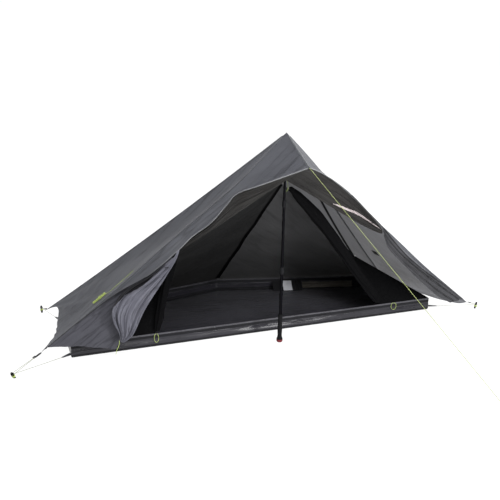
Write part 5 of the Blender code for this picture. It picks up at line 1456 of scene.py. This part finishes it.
# Shoulder tabs: a pale folded tape at each end of the inner tent. It is sewn in where the mesh, the end wall
# and the rear wall meet.
TAB_MAT = woven("shoulder_tape", (0.42, 0.42, 0.42), (0.6, 0.6, 0.6), thread=0.0006)
for side, s in SIDES.items():
    c = vec(s * (SHOULDER[0] - 0.006), SHOULDER[1] - 0.006, SHOULDER[2] - 0.002)
    grid = [[c + vec(s * 0.018 * t, -0.002 - 0.004 * math.sin(math.pi * t), 0.012 * t + 0.004 * w)
             for w in (-1, -0.5, 0, 0.5, 1)] for t in np.linspace(-0.5, 0.5, 12)]
    tab = cloth_mesh("shoulder_tab_" + side, grid, 0.0008, TAB_MAT, (0, -1, 0.2))
    trim(tab)

# Rolled mesh doors: the two halves of the mesh front, open and bunched lengthwise into soft rolls. They lie
# back along the edges of the mesh panels, left and right.
BAND_OFF = vec(0, -0.0164, 0.003)
band_right = through([INNER_PEAK + vec(0.03, -0.012, -0.028), *[vec(p) + BAND_OFF for p in DOOR_EDGE_RIGHT[:2]],
                      vec(DOOR_EDGE_RIGHT[2]) + BAND_OFF + vec(-0.01, 0, 0.016)])
band_left = through([vec(DOOR_EDGE_LEFT[1]) + vec(0.012, -0.0145, 0.01),
                     lerp(vec(DOOR_EDGE_LEFT[1]), vec(DOOR_EDGE_LEFT[2]), 0.5) + vec(0.012, -0.018, 0),
                     vec(DOOR_EDGE_LEFT[2]) + vec(0.01, -0.0167, 0),
                     vec(DOOR_EDGE_LEFT[3]) + vec(0.004, -0.0151, 0.016)])


def bunched(name, path, sizes, lobes, phase, replaced, wide=1.15, steps=110, around=64):
    verts, uvs = [], []
    ts = np.linspace(0, 1, steps)
    for i, t in enumerate(ts):
        c = path(t)
        d = unit(path(min(1.0, t + 0.02)) - path(max(0.0, t - 0.02)))
        x = unit(np.cross(d, vec(0, 1, 0)))
        y = np.cross(d, x)
        r = np.interp(t, *zip(*sizes)) * (0.3 if i in (0, steps - 1) else 1.0)
        for k in range(around):
            a = 2 * math.pi * k / around
            fold = 1 + 0.17 * math.cos(lobes * a + phase + 3.1 * t) + 0.07 * math.sin(2 * a + 7 * t)
            fold += 0.06 * math.sin(9 * a + 5 * t + 2 * math.sin(11 * t)) + 0.025 * math.sin(17 * a - 13 * t)
            verts.append(tuple(c + (x * math.cos(a) * wide + y * math.sin(a) * 0.8) * r * fold))
            uvs.append((k * 0.0022, t * 0.7))
    obj = cloth_tube(name, verts, uvs, steps, around, NET_BUNCH)
    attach(obj, "tent")
    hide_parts(replaced)
    return obj


def bowed_right(t):
    return band_right(t) + vec(0.016, 0, 0.006) * math.sin(math.pi * min(1, 0.25 + t))


bunched("mesh_door_rolled_right", bowed_right,
        ((0, 0.004), (0.07, 0.0105), (0.25, 0.015), (0.6, 0.0150), (0.92, 0.0125), (1, 0.009)), 5, 0.3,
        "mesh_door_right", wide=2.1)
bunched("mesh_door_rolled_left", band_left,
        ((0, 0.005), (0.1, 0.012), (0.5, 0.0165), (0.85, 0.0145), (1, 0.009)), 5, 1.1, "mesh_door_left",
        wide=1.5)

# Tie loops of the mesh doors: 2.2 mm lime cord, one on each side. Both ends are sewn into the seam at the
# tray's rim, and the loop hangs over the tray's front wall.
LOOP_LEAN = 0.12
for side, (x, wide, tall) in {"left": (-0.716, 0.026, 0.052), "right": (0.922, 0.04, 0.045)}.items():
    c = vec(x, TRAY_FRONT[1] - PEAK_CORD - 0.0006 - LOOP_LEAN * tall / 2, TRAY_HEIGHT - tall / 2)
    z = unit(vec(0, -1, LOOP_LEAN))
    y = np.cross(z, vec(1, 0, 0))
    y = y if y[2] > 0 else -y
    points = [c + vec(1, 0, 0) * wide / 2 * math.sin(a) + y * tall / 2 * math.cos(a)
              for a in np.linspace(0.16, 2 * math.pi - 0.16, 34)]
    cord_piece("roll_tie_" + side, points, PEAK_CORD, LIME_CORD, tuple(points[0]),
               "door_loop_" + side)

# Pocket and care label: a flat cloth pocket sewn along the tray's rear wall, sagging on to the floor. A blank
# woven label is sewn in at its top.
POCKET_TOP, POCKET_SAG = 0.064, 0.07
WALL_FOOT = inset_ring(TRAY, 0.002)


def off_tray(w, s, off):
    def surface(w, s):
        a, b = WALL_FOOT[3], WALL_FOOT[2]
        along = unit(b - a)
        p = lerp(a, b, w) + vec(along[1], -along[0]) * (0.0006 + POCKET_SAG * s ** 1.4)
        return vec(*p, lerp(POCKET_TOP, 0.0032, s))
    across = surface(w + 0.01, s) - surface(w - 0.01, s)
    down = surface(w, s + 0.01) - surface(w, max(0.0, s - 0.01))
    n = unit(np.cross(across, down))
    return surface(w, s) + (n if n[2] > 0 else -n) * off


grid = []
for v in np.linspace(0, 1, 26):
    grid.append([off_tray(w, v, 0.0005 + 0.0010 * math.sin(math.pi * v) * (1 + math.sin(90 * w + 5 * v)))
                 for w in np.linspace(0.34, 0.516, 36)])
POCKET_MAT = woven("pocket_cloth", (0.010, 0.010, 0.011), (0.018, 0.018, 0.020), rough=(0.6, 0.8))
cloth_piece("inner_pocket", np.array(grid), POCKET_MAT, (0, 0, 1), ("wall_pocket",), "hung", ["floor_tray"],
            "inner_fabric", (0.22, 0.11), hems=("top", "left", "right", "bottom"), thick=INNER_THICK,
            hem_wide=0.008, hem_more=0.0003)
grid = [[off_tray(w, v, 0.0032 + 0.0005 * math.sin(300 * (w - 0.4)) * v) for w in np.linspace(0.402, 0.457, 14)]
        for v in np.linspace(0.06, 0.97, 20)]
LABEL_THICK = 0.0003
LABEL_MAT = woven("label_tape", (0.62, 0.63, 0.68), (0.74, 0.75, 0.79), thread=0.0006, rough=(0.6, 0.8))
cloth_piece("blank_label", np.array(grid), LABEL_MAT, (0, 0, 1), ("care_label",), "hung", ["inner_pocket"],
            "label_cloth", (0.07, 0.095), thick=LABEL_THICK, hems=("bottom",), hem_wide=0.004, hem_more=0.0002)

# Corner straps: black ribbed webbing, stitched to each corner of the fly. The moulded ladder buckle on its end
# takes the corner cord.
WEBBING_THICK, RIB_HIGH, RIB_PITCH = 0.0011, 0.00012, 0.0018
WEB_MAT = stitched("corner_webbing", (0.010, 0.010, 0.011), (0.022, 0.022, 0.024), pitch=0.003, row=0.0046)
for key, (f, end_frame) in CORNER_FRAMES.items():
    xs = np.linspace(0, STRAP_LONG, 40)
    grid = np.zeros((40, 13, 3))
    for i, x in enumerate(xs):
        t = x / STRAP_LONG
        half = STRAP_WIDE / 2 * (0.62 + 0.38 * min(1.0, 3 * t))
        rib = RIB_HIGH * math.sin(2 * math.pi * x / RIB_PITCH)
        for j, y in enumerate(np.linspace(-1, 1, 13)):
            grid[i, j] = placed(f, (x, half * y, -0.0006 * math.sin(math.pi * t) + rib * (1 - abs(y)) ** 0.5))
    strap = cloth_mesh("webbing_" + key, grid, WEBBING_THICK, WEB_MAT, (0, 0, 1), hems=("left", "right"),
                       hem_wide=0.0016, hem_more=0.0003)
    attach(strap, "tent")
    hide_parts("corner_strap_" + key)
dress(moulded("buckle_plastic", (0.008, 0.008, 0.009), (0.022, 0.022, 0.024), 0.3, 0.55),
      *["corner_buckle_" + key for key in CORNER_FRAMES])

# Floor and light: a white studio floor that glows, a bright room on the far side and a dimmer one on the near
# side, and three broad lamps.
bpy.ops.mesh.primitive_plane_add(size=120.0, location=(0, 0, 0))
ground = bpy.context.object
ground.name = "studio_floor"
m, tree, s = shader("studio_floor", 0.9)
s.inputs["Specular IOR Level"].default_value = 0.1
s.inputs["Emission Color"].default_value = (1.0, 1.0, 1.0, 1.0)
s.inputs["Emission Strength"].default_value = 0.97
where = add(tree, "TexCoord")
fleck = add(tree, "TexNoise", Scale=40.0)
link(tree, where.outputs["Object"], fleck.inputs["Vector"])
two_tone(tree, s, fleck.outputs["Fac"], (0.10, 0.10, 0.10), (0.12, 0.12, 0.12))
ground.data.materials.append(m)
world = bpy.data.worlds.new("studio")
world.use_nodes = True
tree = world.node_tree
room = tree.nodes["Background"]
room.inputs["Color"].default_value = (1.0, 1.0, 1.0, 1.0)
where = add(tree, "TexCoord")
facing = add(tree, "VectorMath", operation="DOT_PRODUCT")
facing.inputs[1].default_value = (0.42, 0.88, 0.2)
link(tree, where.outputs["Generated"], facing.inputs[0])
bright = add(tree, "MapRange", From_Min=-0.1, From_Max=0.6, To_Min=0.42, To_Max=1.02)
link(tree, facing.outputs["Value"], bright.inputs["Value"])
link(tree, bright.outputs["Result"], room.inputs["Strength"])
bpy.context.scene.world = world
bpy.context.scene.view_settings.view_transform = "Standard"


def lamp(name, at, to, size, power, colour=(1.0, 1.0, 1.0)):
    data = bpy.data.lights.new(name, "AREA")
    data.shape = "DISK"
    data.size = size
    data.energy = power
    data.color = colour
    obj = bpy.data.objects.new(name, data)
    look = unit(vec(to) - vec(at))
    side_way = unit(np.cross(look, vec(0, 0, 1)))
    up_way = np.cross(side_way, look)
    obj.matrix_world = Matrix.Translation(at) @ Matrix(((side_way[0], up_way[0], -look[0]),
                                                        (side_way[1], up_way[1], -look[1]),
                                                        (side_way[2], up_way[2], -look[2]))).to_4x4()
    bpy.context.collection.objects.link(obj)
    return obj


lamp("high_right_lamp", at=(4.0, 1.5, 4.0), to=(0.4, 0.2, 0.5), size=1.8, power=220.0,
     colour=(1.0, 0.985, 0.96))
lamp("high_front_lamp", at=(-0.9, -2.4, 3.2), to=(0.0, 0.0, 1.0), size=1.6, power=90.0)
lamp("low_front_lamp", at=(1.40, -3.4, 1.0), to=(-0.15, 0.17, 0.05), size=0.8, power=80.0)
